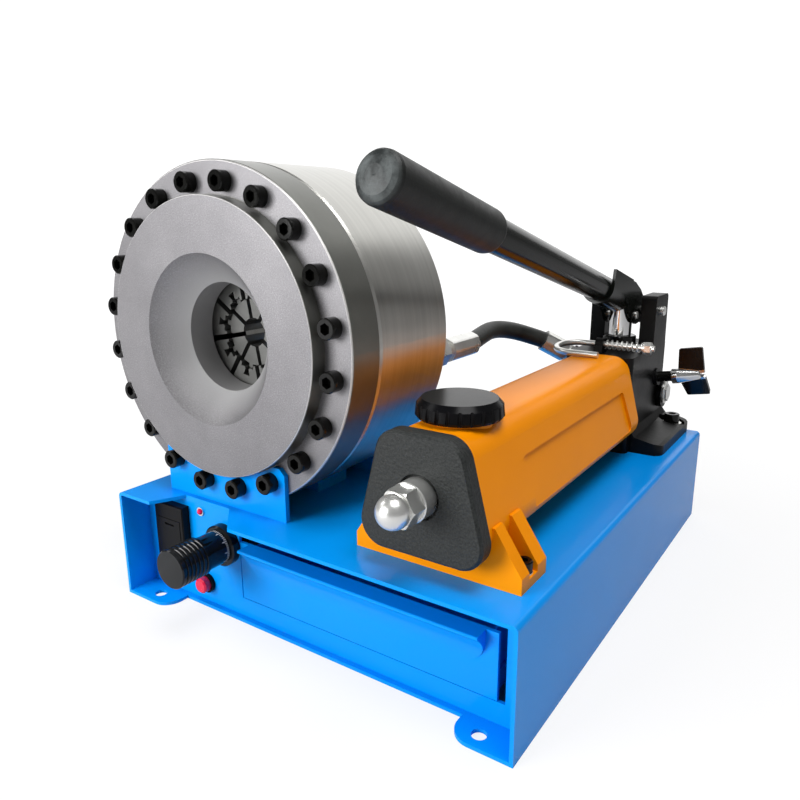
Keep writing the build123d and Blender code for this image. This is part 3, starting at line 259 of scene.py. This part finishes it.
# %% [markdown]
# ## Masks
# A mask is 1 where a finish applies and 0 elsewhere. It could be painted on, but on a turned
# piece the distance from its axis already tells one surface from the next. So a mask is a
# small calculation on that distance, and a blend uses it to pick a colour or a number.

# %% Mask helpers
def calculate(tree, operation, *values):
    """A sum, product, comparison or other calculation with numbers."""
    return add_node(tree, "ShaderNodeMath", dict(enumerate(values)), operation=operation).outputs["Value"]


def parts_of(tree, vector):
    """The x, y and z of a place."""
    node = add_node(tree, "ShaderNodeSeparateXYZ", {"Vector": vector})
    return [node.outputs[axis] for axis in "XYZ"]


def axis_radius(tree, axis_x, axis_z):
    """Distance from an axis that runs along Y."""
    x, _, z = parts_of(tree, on_piece(tree, offset=(-axis_x, 0, -axis_z)))
    squares = calculate(tree, "MULTIPLY_ADD", z, z, calculate(tree, "MULTIPLY", x, x))
    return calculate(tree, "SQRT", squares)


def blend_colour(tree, factor, first, second, mode="MIX"):
    """A colour from first to second as factor goes from 0 to 1, or their product."""
    feeds = {0: factor, 6: first, 7: second}
    return add_node(tree, "ShaderNodeMix", feeds, data_type="RGBA", blend_type=mode).outputs[2]


def blend_value(tree, factor, first, second):
    """A number that moves from first to second as factor goes from 0 to 1."""
    return add_node(tree, "ShaderNodeMix", {0: factor, 2: first, 3: second}, data_type="FLOAT").outputs[0]


print("masks: calculate, parts of a place, radius, blends")

# %% [markdown]
# ## Steps of the front flange
# The flange is one turned piece: a rim, a raised disc, and a funnel that leads down to the die
# throat. Its outer radius and its axis are read from the model. The radii inside it can't be
# read from a box, so they are written down.

# %% Flange radii
def middle(node):
    """Centre of a node's box."""
    low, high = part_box(node)
    return (low + high) / 2


flange_low, flange_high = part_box("front_flange")
head_centre = middle("front_flange")
RIM_R = (flange_high.x - flange_low.x) / 2
DISC_R = 112.6 * MM
FUNNEL_R = 69.0 * MM
THROAT_R = 45.0 * MM
print("head centre", tuple(round(v, 4) for v in head_centre), "rim radius", round(RIM_R, 4))

# %% [markdown]
# ## Turned sides and chamfers
# Blasting greys the flange's faces, but its outer side is left as turned and darker. The disc's
# step gets the same dark colour as painted shade, and the two chamfers are made pale as a painted
# highlight. Each is a narrow band of radius just inside an edge, so a comparison with the edge's
# radius finds it.

# %% Flange masks
SIDE_BAND = 0.4 * MM
SHADED_STEP_BAND = 0.3 * MM
RIM_CHAMFER_IN = 0.9 * MM
RIM_CHAMFER_BAND = 0.5 * MM
DISC_CHAMFER_IN = 0.6 * MM
DISC_CHAMFER_BAND = 0.3 * MM


def turned_side_and_shaded_step_mask(tree, radius):
    """1 on the rim's outer side, and on the disc's step, which is darkened as painted shade."""
    rim = calculate(tree, "GREATER_THAN", radius, RIM_R - SIDE_BAND)
    step = calculate(tree, "COMPARE", radius, DISC_R, SHADED_STEP_BAND)
    return calculate(tree, "MAXIMUM", rim, step)


def chamfer_highlight_mask(tree, radius):
    """1 on the chamfers of the rim and the disc, where a highlight is painted."""
    rim = calculate(tree, "COMPARE", radius, RIM_R - RIM_CHAMFER_IN, RIM_CHAMFER_BAND)
    disc = calculate(tree, "COMPARE", radius, DISC_R - DISC_CHAMFER_IN, DISC_CHAMFER_BAND)
    return calculate(tree, "MAXIMUM", rim, disc)


print("turned side starts at", round(RIM_R - SIDE_BAND, 4), "m from the axis")

# %% [markdown]
# ## Blasted steel
# The blasted faces are an even grey with a fine sparkle. Towards the throat the funnel is less
# like bare metal, and it turns paler as painted light on its inner walls. All of this could be
# separate materials, but the model keeps the flange as one piece, so one material blends the
# surfaces by their masks.

# %% Flange steel
def blasted_steel():
    """Blasted faces, a darker turned side, painted shade on the step, a painted highlight on the chamfers
    and painted light paling the funnel inwards.
    """
    material, tree = new_material("blasted_flange_steel")
    radius = axis_radius(tree, head_centre.x, head_centre.z)
    vector = on_piece(tree)
    cloud = noise(tree, vector, 14.0, 6.0, 0.65)
    grain = noise(tree, vector, 1100.0, 2.0, 0.6)
    side = turned_side_and_shaded_step_mask(tree, radius)

    base = ramp(tree, cloud, [(0.3, (0.185, 0.180, 0.188)), (0.7, (0.240, 0.234, 0.242))])
    sparkle = ramp(tree, grain, [(0.30, 0.72), (0.55, 1.0), (0.72, 1.4)])
    face = blend_colour(tree, 1.0, base, sparkle, "MULTIPLY")
    # The rim's turned side is darker steel; on the disc's step the same dark colour is painted shade.
    turned = ramp(tree, cloud, [(0.3, (0.150, 0.152, 0.138)), (0.7, (0.200, 0.202, 0.184))])
    colour = blend_colour(tree, side, face, turned)
    # The chamfers' pale colour is a painted highlight.
    colour = blend_colour(tree, chamfer_highlight_mask(tree, radius), colour, (0.62, 0.61, 0.60))

    # Painted light: the funnel's colour turns paler towards the throat.
    inwards = remap(tree, radius, 1.0, 0.0, THROAT_R, FUNNEL_R)
    pale = blend_colour(tree, inwards, colour, (0.36, 0.357, 0.36))
    colour = blend_colour(tree, calculate(tree, "LESS_THAN", radius, FUNNEL_R), colour, pale)
    rough = blend_value(tree, side, remap(tree, grain, 0.40, 0.56), 0.30)
    surface(tree, colour, rough, remap(tree, radius, 0.35, 0.75, THROAT_R, FUNNEL_R))
    bump(tree, grain, 0.35, 0.05)
    return material


finishes["flange_steel"] = blasted_steel()
print("flange steel has", len(finishes["flange_steel"].node_tree.nodes), "nodes")

# %% [markdown]
# ## Turned and ground steel
# The cylinder is turned on a lathe, which leaves faint lines that run round it. A noise that is
# squeezed along the axis and stretched across it gives such lines, without modelling any. The
# dies are ground and sit deep in the head, and their colour is darkened as painted shade.

# %% Cylinder and die steel
LINE_SCALE = (3.1, 320.0, 3.7)
LINE_OFFSET = (0.37, 0.21, 0.43)


def turned_steel():
    """Satin-turned steel with faint lines round the head's axis."""
    material, tree = new_material("turned_cylinder_steel")
    lines = noise(tree, on_piece(tree, LINE_SCALE, LINE_OFFSET), 1.0, 1.0, 0.5)
    cloud = noise(tree, on_piece(tree), 16.0, 1.0, 0.4)
    tint = ramp(tree, cloud, [(0.1, (0.50, 0.495, 0.465)), (0.9, (0.60, 0.595, 0.565))])
    marks = ramp(tree, lines, [(0.35, 0.95), (0.65, 1.05)])
    colour = blend_colour(tree, 1.0, tint, marks, "MULTIPLY")
    surface(tree, colour, remap(tree, cloud, 0.26, 0.36, 0.1, 0.9), metal=1.0)
    bump(tree, lines, 0.05, 0.004)
    return material


finishes["cylinder_steel"] = turned_steel()
add_even_finishes({
    # The dies' dark grey is ground steel darkened with painted shade.
    "die_steel": dict(
        name="ground_die_steel_painted_shade", dark=(0.095, 0.096, 0.092), light=(0.150, 0.150, 0.144),
        rough=(0.38, 0.50), patch=30.0, grain=600.0, grain_mm=0.04, metal=0.7,
    ),
})

# %% [markdown]
# ## Black metal and plastic
# Black is never one black here: oxide screws and the painted lever are glossy, the plastic is a
# little softer, and the seals are dull rubber. Their colours are nearly the same, so what
# tells them apart is how rough they are and how strongly they reflect.

# %% Smooth black finishes
add_even_finishes({
    "black_oxide": dict(
        name="black_oxide_steel", dark=(0.002, 0.002, 0.002), light=(0.006, 0.006, 0.005),
        rough=(0.09, 0.14), patch=60.0, grain=500.0, grain_mm=0.01, strength=0.2, gloss=0.22,
    ),
    "gloss_black": dict(
        name="gloss_black_plastic", dark=(0.002, 0.002, 0.003), light=(0.006, 0.006, 0.006),
        rough=(0.20, 0.28), patch=25.0, grain=350.0, grain_mm=0.02, strength=0.3, gloss=0.10,
    ),
    "lever_paint": dict(
        name="black_lever_paint", dark=(0.002, 0.003, 0.002), light=(0.005, 0.006, 0.005),
        rough=(0.14, 0.24), patch=20.0, grain=260.0, grain_mm=0.04, strength=0.4, gloss=0.16,
    ),
    "seal_rubber": dict(
        name="seal_rubber", dark=(0.010, 0.010, 0.010), light=(0.020, 0.020, 0.020),
        rough=(0.50, 0.70), patch=40.0, grain=500.0, grain_mm=0.05,
    ),
})

# %% [markdown]
# ## Black castings
# The pump body is cast in sand and painted, so its skin is wavy, and the tank's end cap has a
# coarse sprayed texture. Both are shallow enough for a bump, so each gets a grain that is
# several times deeper than that of the smooth blacks.

# %% Cast and textured black
add_even_finishes({
    "cast_black": dict(
        name="black_cast_paint", dark=(0.003, 0.003, 0.003), light=(0.007, 0.007, 0.007),
        rough=(0.30, 0.46), patch=18.0, grain=150.0, grain_mm=0.30, gloss=0.12,
    ),
    "black_casting": dict(
        name="coarse_black_texture", dark=(0.006, 0.007, 0.007), light=(0.030, 0.033, 0.032),
        rough=(0.42, 0.58), patch=700.0, grain=420.0, grain_mm=0.5, strength=0.9, gloss=0.28,
    ),
})

# %% [markdown]
# ## The lever's grip
# The grip is moulded rubber: black along its sides, and rubbed grey on its flat front end. The
# lever stands at a slant, so no single axis tells the end from the sides. The place is measured
# along the lever's own direction instead, and the grey fades in over the last millimetres.

# %% Grip rubber
LEVER_DIRECTION = (0.0, 0.9711, -0.2387)
GRIP_END = -345.1 * MM
RUBBED_FROM = GRIP_END + 1 * MM
RUBBED_TO = GRIP_END + 5 * MM


def vector_math(tree, operation, *vectors, output="Vector"):
    """A calculation with places and directions."""
    feeds = dict(enumerate(vectors))
    return add_node(tree, "ShaderNodeVectorMath", feeds, operation=operation).outputs[output]


def grip_finish():
    """Moulded rubber, rubbed grey and scuffed on its front end."""
    material, tree = new_material("moulded_grip_rubber")
    vector = on_piece(tree)
    along = vector_math(tree, "DOT_PRODUCT", vector, LEVER_DIRECTION, output="Value")
    worn = remap(tree, along, 1.0, 0.0, RUBBED_FROM, RUBBED_TO)
    scuff = noise(tree, vector, 90.0, 8.0, 0.7)
    body = ramp(tree, scuff, [(0.35, (0.003, 0.004, 0.003)), (0.65, (0.009, 0.010, 0.009))])
    end = ramp(tree, scuff, [(0.38, (0.010, 0.013, 0.013)), (0.62, (0.075, 0.085, 0.085))])
    surface(tree, blend_colour(tree, worn, body, end), remap(tree, scuff, 0.40, 0.60), gloss=0.35)
    bump(tree, noise(tree, vector, 500.0, 3.0), 0.6, 0.15)
    return material


finishes["grip_rubber"] = grip_finish()
print("grip is rubbed over the last", round((RUBBED_TO - GRIP_END) / MM, 1), "mm")

# %% [markdown]
# ## Plated pieces and the button
# Zinc plating is bright but slightly cloudy, so it is rougher than chrome and isn't quite all
# metal. The plunger is chromed and nearly mirror smooth. The push button is moulded red
# plastic, with a thin clear skin as its shine.

# %% Plated finishes and button
add_even_finishes({
    "zinc_plate": dict(
        name="bright_zinc_plate", dark=(0.66, 0.66, 0.63), light=(0.84, 0.84, 0.82),
        rough=(0.24, 0.36), patch=45.0, grain=400.0, grain_mm=0.006, strength=0.3, metal=0.85,
    ),
    "polished_chrome": dict(
        name="polished_chrome", dark=(0.72, 0.72, 0.72), light=(0.82, 0.82, 0.82),
        rough=(0.05, 0.10), patch=30.0, grain=300.0, grain_mm=0.005, strength=0.2, metal=1.0,
    ),
    "red_button": dict(
        name="red_button_plastic", dark=(0.62, 0.004, 0.04), light=(0.78, 0.008, 0.06),
        rough=(0.22, 0.34), patch=80.0, grain=500.0, grain_mm=0.02, coat=0.2,
    ),
})

# %% [markdown]
# ## The pilot lamp
# The lamp is a red lens in a bright metal ring, modelled as one small piece. Its finish goes
# by the distance from its centre: lens inside, ring outside.

# %% Lamp lens
LENS_R = 2.8 * MM


def lamp_finish():
    """Red lens in a bright ring."""
    material, tree = new_material("ringed_red_lens")
    centre = middle("pilot_lamp")
    ring = calculate(tree, "GREATER_THAN", axis_radius(tree, centre.x, centre.z), LENS_R)
    drift = noise(tree, on_piece(tree), 120.0)
    red = ramp(tree, drift, [(0.35, (0.55, 0.004, 0.05)), (0.65, (0.80, 0.012, 0.10))])
    colour = blend_colour(tree, ring, red, (0.75, 0.75, 0.75))
    surface(tree, colour, remap(tree, drift, 0.08, 0.18), ring)
    bump(tree, drift, 0.2, 0.02)
    return material


finishes["red_lens"] = lamp_finish()
print("lens radius", round(LENS_R / MM, 1), "mm")

# %% [markdown]
# ## Lines on the dial
# The dial sets how far the dies close. White lines stand round its barrel as on a micrometer,
# every fifth one longer. They could be cut into the mesh, but they are only ink-thin, so they
# are a mask. The angle round the barrel becomes a count of lines, and the part of it behind
# the decimal point says how near the next line is. `HALF_LINE` is half a line's width, as a
# share of the space from one line to the next.

# %% Graduation lines
GRADUATIONS = 50
HALF_LINE = 0.13
SHORT_LINE = 2.2 * MM
LONG_LINE_EXTRA = 2.5 * MM
KEEP_POSITIVE = 100
BARREL_REAR_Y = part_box("dial_thimble")[1].y - 0.3 * MM


def line_mask(tree, count):
    """1 on every line round the barrel, and 1 on the sector of every fifth line."""
    within = calculate(tree, "FRACT", calculate(tree, "ADD", count, KEEP_POSITIVE + 0.5))
    from_line = calculate(tree, "ABSOLUTE", calculate(tree, "SUBTRACT", within, 0.5))
    fifths = calculate(tree, "ADD", calculate(tree, "MULTIPLY", count, 0.2), KEEP_POSITIVE + 0.1)
    every_fifth = calculate(tree, "LESS_THAN", calculate(tree, "FRACT", fifths), 0.2)
    return calculate(tree, "LESS_THAN", from_line, HALF_LINE), every_fifth


def graduation_mask(tree, vector):
    """1 on the graduation lines, which start at the barrel's rear end."""
    x, y, z = parts_of(tree, vector)
    angle = calculate(tree, "ARCTAN2", z, x)
    count = calculate(tree, "MULTIPLY", angle, GRADUATIONS / (2 * math.pi))
    line, every_fifth = line_mask(tree, count)
    reach = calculate(tree, "MULTIPLY_ADD", every_fifth, LONG_LINE_EXTRA, SHORT_LINE)
    from_rear = calculate(tree, "SUBTRACT", BARREL_REAR_Y, y)
    near = calculate(tree, "LESS_THAN", from_rear, reach)
    started = calculate(tree, "GREATER_THAN", from_rear, 0.0)
    return calculate(tree, "MULTIPLY", calculate(tree, "MULTIPLY", line, near), started)


print("graduation lines:", GRADUATIONS)

# %% [markdown]
# ## The size dial
# Under its lines the dial is black anodised aluminium, which is smooth and shines softly. The
# lines' mask then only has to pick white instead of black.

# %% Dial with graduations
def dial_finish():
    """Black anodised dial with white graduation lines round its barrel."""
    material, tree = new_material("graduated_black_dial")
    centre = middle("dial_thimble")
    vector = on_piece(tree, offset=(-centre.x, 0, -centre.z))
    drift = noise(tree, vector, 60.0)
    black = ramp(tree, drift, [(0.35, (0.002, 0.003, 0.004)), (0.65, (0.007, 0.008, 0.009))])
    colour = blend_colour(tree, graduation_mask(tree, vector), black, (0.75, 0.77, 0.78))
    surface(tree, colour, remap(tree, drift, 0.10, 0.18), gloss=0.3)
    bump(tree, drift, 0.2, 0.02)
    return material


finishes["dial_black"] = dial_finish()
print("dial finish has", len(finishes["dial_black"].node_tree.nodes), "nodes")

# %% [markdown]
# ## The valve knob
# The release valve is turned by two black wings on a chromed hub. The hub tapers outwards, so
# its mask is a cone. The valve's axis is at a slant, but the joint that turns the knob holds its
# place and its direction, so both are read from there.

# %% Wings and hub
HUB_FROM, HUB_FROM_R = 14 * MM, 8.8 * MM
HUB_TO, HUB_TO_R = 36 * MM, 5.3 * MM


def hub_mask(tree, vector):
    """1 within a cone round the valve's axis."""
    joint = next(j for j in frame["record"]["behaviour"]["joints"] if j["name"] == "valve_turn")
    from_joint = vector_math(tree, "SUBTRACT", vector, joint["pos_m"])
    along = vector_math(tree, "DOT_PRODUCT", from_joint, joint["axis"], output="Value")
    across = vector_math(tree, "CROSS_PRODUCT", from_joint, joint["axis"])
    radius = vector_math(tree, "LENGTH", across, output="Value")
    cone = remap(tree, along, HUB_FROM_R, HUB_TO_R, HUB_FROM, HUB_TO)
    return calculate(tree, "LESS_THAN", radius, cone)


def valve_knob_finish():
    """Black wings on a chromed hub."""
    material, tree = new_material("black_wings_chrome_hub")
    vector = on_piece(tree)
    hub = hub_mask(tree, vector)
    drift = noise(tree, vector, 60.0)
    black = ramp(tree, drift, [(0.35, (0.002, 0.002, 0.003)), (0.65, (0.006, 0.006, 0.006))])
    colour = blend_colour(tree, hub, black, (0.70, 0.70, 0.70))
    surface(tree, colour, remap(tree, drift, 0.10, 0.18), hub, gloss=0.2)
    bump(tree, drift, 0.2, 0.02)
    return material


finishes["valve_knob"] = valve_knob_finish()
print("hub's cone is", round((HUB_TO - HUB_FROM) / MM), "mm long")

# %% [markdown]
# ## Hose cover
# The pressure hose has a black wrapped cover that keeps the print of the cloth it was cured
# in. The print is too small to model, so a fine pattern of cells in the bump carries it.

# %% Hose rubber
def hose_cover():
    """Wrapped rubber cover with a fine cloth print."""
    material, tree = new_material("wrapped_hose_cover")
    vector = on_piece(tree)
    cloud = noise(tree, vector, 60.0)
    cells = add_node(tree, "ShaderNodeTexVoronoi", {"Vector": vector, "Scale": 700.0})
    colour = ramp(tree, cloud, [(0.35, (0.010, 0.011, 0.010)), (0.65, (0.022, 0.024, 0.022))])
    surface(tree, colour, remap(tree, cloud, 0.40, 0.60))
    bump(tree, cells.outputs["Distance"], 0.5, 0.2)
    return material


finishes["hose_rubber"] = hose_cover()
print("finishes made:", len(finishes))

# %% [markdown]
# ## Give every piece its finish
# The record lists which finish each piece takes, so a loop can hand them out. Four pieces look
# different from that list: the foot screws, the valve's stem and the plunger's gland are
# blackened instead of plated, and the valve knob has its chromed hub.

# %% Finishes onto the model
OWN_FINISHES = {
    "mount_screws": "black_oxide",
    "valve_stem": "black_oxide",
    "plunger_gland": "black_oxide",
    "valve_knob": "valve_knob",
}
for entry in frame["record"]["subparts"]:
    piece = nodes[entry["node"]]
    finish = OWN_FINISHES.get(entry["node"], entry["material_slot"])
    piece.data.materials.clear()
    piece.data.materials.append(finishes[finish])

# %% [markdown]
# ## Soft edges
# Bent sheet, cast iron and moulded plastic never have knife edges. The fixed model could be
# rounded edge by edge, but a small bevel modifier on each of these pieces finds every edge
# sharper than a limit by itself, and the rounding catches a thin line of light.

# %% Edge bevels
EDGE_RADII_MM = {
    "base_shell": 0.7,
    "front_panel": 0.5,
    "drawer_front": 0.6,
    "head_bracket_front": 0.6,
    "head_bracket_rear": 0.6,
    "battery_box": 0.5,
    "battery_tray": 0.4,
    "pump_tank": 1.0,
    "pump_body": 1.2,
    "tank_end_cap": 0.6,
    "lever_fork": 0.5,
    "valve_knob": 0.6,
    "domed_nut": 0.3,
    "flange_screws": 0.35,
    "bracket_screws": 0.35,
    "mount_screws": 0.3,
    "filler_cap": 0.3,
}
SHARP_FROM = math.radians(38)
for node, radius in EDGE_RADII_MM.items():
    soft = nodes[node].modifiers.new("soft_edge", "BEVEL")
    soft.width = radius * MM
    soft.segments = 2
    soft.limit_method = "ANGLE"
    soft.angle_limit = SHARP_FROM
    soft.harden_normals = False
print("pieces with soft edges:", len(EDGE_RADII_MM))

# %% [markdown]
# ## The hose
# A short stiff hose bends from the head's port to the pump's port. It could be a tube swept
# through many rings, but a hose has one even bend, so it is a single smooth curve with a round
# section, and its control points are the turning points of its route.

# %% Hose
HOSE_ROUTE = [
    (0.0182, 0.0180, 0.2162),
    (0.0168, 0.0420, 0.2202),
    (0.0152, 0.0680, 0.2233),
    (0.0199, 0.0955, 0.2204),
    (0.0315, 0.1210, 0.2128),
    (0.0480, 0.1390, 0.2039),
]
HOSE_DIAMETER = 0.018


def smooth_curve(name, points, diameter):
    """A NURBS curve through the route's points with a round section."""
    data = bpy.data.curves.new(name, "CURVE")
    data.dimensions = "3D"
    spline = data.splines.new("NURBS")
    spline.points.add(len(points) - 1)
    for point, place in zip(spline.points, points):
        point.co = (*place, 1.0)
    spline.order_u = 3
    spline.use_endpoint_u = True
    data.resolution_u = 12
    data.bevel_depth = diameter / 2
    data.bevel_resolution = 8
    data.use_fill_caps = True
    curve = bpy.data.objects.new(name, data)
    bpy.context.scene.collection.objects.link(curve)
    return curve


hose = smooth_curve("pressure_hose", HOSE_ROUTE, HOSE_DIAMETER)
hose.data.materials.append(finishes["hose_rubber"])
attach(hose, "machine")
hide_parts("hose")
print("hose is laid over", len(HOSE_ROUTE), "points")

# %% [markdown]
# ## Where the floor glows
# The floor should be white and still show a soft shadow. Enough light for a white floor would
# bleach the machine, so the camera sees a share of white glow mixed into the floor. The share
# grows away from the machine. Under the base it is off, out to the side walls and to the front
# and rear panels, so that no white shows through the gap round the drawer.

# %% Glow of the floor
GLOW_NEAR = 0.70
GLOW_FAR = 1.0
NEAR_RADIUS = 0.35
FAR_RADIUS = 1.1
SIDE_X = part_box("base_shell")[1].x - 1 * MM
PANEL_Y = -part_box("drawer_front")[1].y


def glow_share(tree):
    """How much of the floor is glow: for the camera only, and none under the base."""
    place = add_node(tree, "ShaderNodeTexCoord", {}).outputs["Object"]
    distance = vector_math(tree, "LENGTH", place, output="Value")
    share = remap(tree, distance, GLOW_NEAR, GLOW_FAR, NEAR_RADIUS, FAR_RADIUS)
    x, y, _ = parts_of(tree, place)
    past_sides = calculate(tree, "GREATER_THAN", calculate(tree, "ABSOLUTE", x), SIDE_X)
    past_panels = calculate(tree, "GREATER_THAN", calculate(tree, "ABSOLUTE", y), PANEL_Y)
    outside = calculate(tree, "MAXIMUM", past_sides, past_panels)
    seen = add_node(tree, "ShaderNodeLightPath", {}).outputs["Is Camera Ray"]
    return calculate(tree, "MULTIPLY", seen, calculate(tree, "MULTIPLY", share, outside))


print("floor stays dark within", round(SIDE_X, 4), "m and", round(PANEL_Y, 4), "m of the middle")

# %% [markdown]
# ## The floor
# A wide plane is enough for a table top, as its edge is far behind the machine.

# %% Floor
WHITE_LEVEL = 1.12


def floor_material():
    """Plain pale shading, which takes the shadow, mixed with a white glow."""
    material, tree = new_material("white_floor")
    surface(tree, (0.62, 0.62, 0.63), 0.9)
    glow = add_node(tree, "ShaderNodeEmission", {"Strength": WHITE_LEVEL})
    shading = tree.nodes["Principled BSDF"].outputs["BSDF"]
    feeds = {"Fac": glow_share(tree), 1: shading, 2: glow.outputs["Emission"]}
    mix = add_node(tree, "ShaderNodeMixShader", feeds)
    feed(tree, tree.nodes["Material Output"].inputs["Surface"], mix.outputs["Shader"])
    return material


bpy.ops.object.select_all(action="DESELECT")
bpy.ops.mesh.primitive_plane_add(size=12.0, location=(0, 0, 0))
floor = bpy.context.active_object
floor.name = "floor"
floor.data.materials.append(floor_material())
print("floor is", floor.dimensions.x, "m wide")

# %% [markdown]
# ## Lamps
# Polished steel shows what stands round it, so the lamps are large soft panels that look good
# as reflections. A key at the front left lights the flange and the blue front. A wide panel
# behind, like a bright wall, draws the highlight along the cylinder. A softbox above lights
# the tops, and a weak fill high on the left keeps the shadows open.

# %% Lamps
AIM = (0.0, 0.0, 0.16)


def soft_lamp(name, place, size, power):
    """A large area lamp, aimed at the machine and hidden from the camera."""
    data = bpy.data.lights.new(name, "AREA")
    data.shape = "RECTANGLE"
    data.size, data.size_y = size
    data.energy = power
    lamp = bpy.data.objects.new(name, data)
    lamp.location = place
    lamp.rotation_euler = (Vector(AIM) - Vector(place)).to_track_quat("-Z", "Y").to_euler()
    lamp.visible_camera = False
    bpy.context.scene.collection.objects.link(lamp)
    print(name, "at", power, "W")


soft_lamp("front_left_key", (-0.9, -2.0, 0.75), (1.2, 1.0), 52.0)
soft_lamp("back_wall", (-0.7, 2.2, 1.45), (3.2, 2.3), 26.0)
soft_lamp("high_left_fill", (-1.9, -0.8, 1.7), (0.9, 0.9), 6.0)
soft_lamp("top_softbox", (0.5, -0.35, 1.8), (0.9, 0.9), 24.0)

# %% [markdown]
# ## World
# Behind the floor the camera should see plain white, but a world that bright would light the
# machine from all sides and flatten it. So the world has two levels: white for the camera, and
# a dim even sky for everything else, which fills the shadows a little.

# %% World
SKY_LEVEL = 0.22
WORLD_COLOUR = (1.0, 1.0, 1.0)

world = bpy.data.worlds.new("studio_world")
bpy.context.scene.world = world
world.use_nodes = True
board = world.node_tree
sky = board.nodes["Background"]
feed(board, sky.inputs["Color"], WORLD_COLOUR)
feed(board, sky.inputs["Strength"], SKY_LEVEL)
backdrop = add_node(board, "ShaderNodeBackground", {"Color": WORLD_COLOUR, "Strength": WHITE_LEVEL})
rays = add_node(board, "ShaderNodeLightPath", {})
choose = add_node(board, "ShaderNodeMixShader", {
    "Fac": rays.outputs["Is Camera Ray"],
    1: sky.outputs["Background"],
    2: backdrop.outputs["Background"],
})
feed(board, board.nodes["World Output"].inputs["Surface"], choose.outputs["Shader"])
bpy.context.scene.view_settings.view_transform = "Standard"
print("sky", SKY_LEVEL, "backdrop", WHITE_LEVEL)
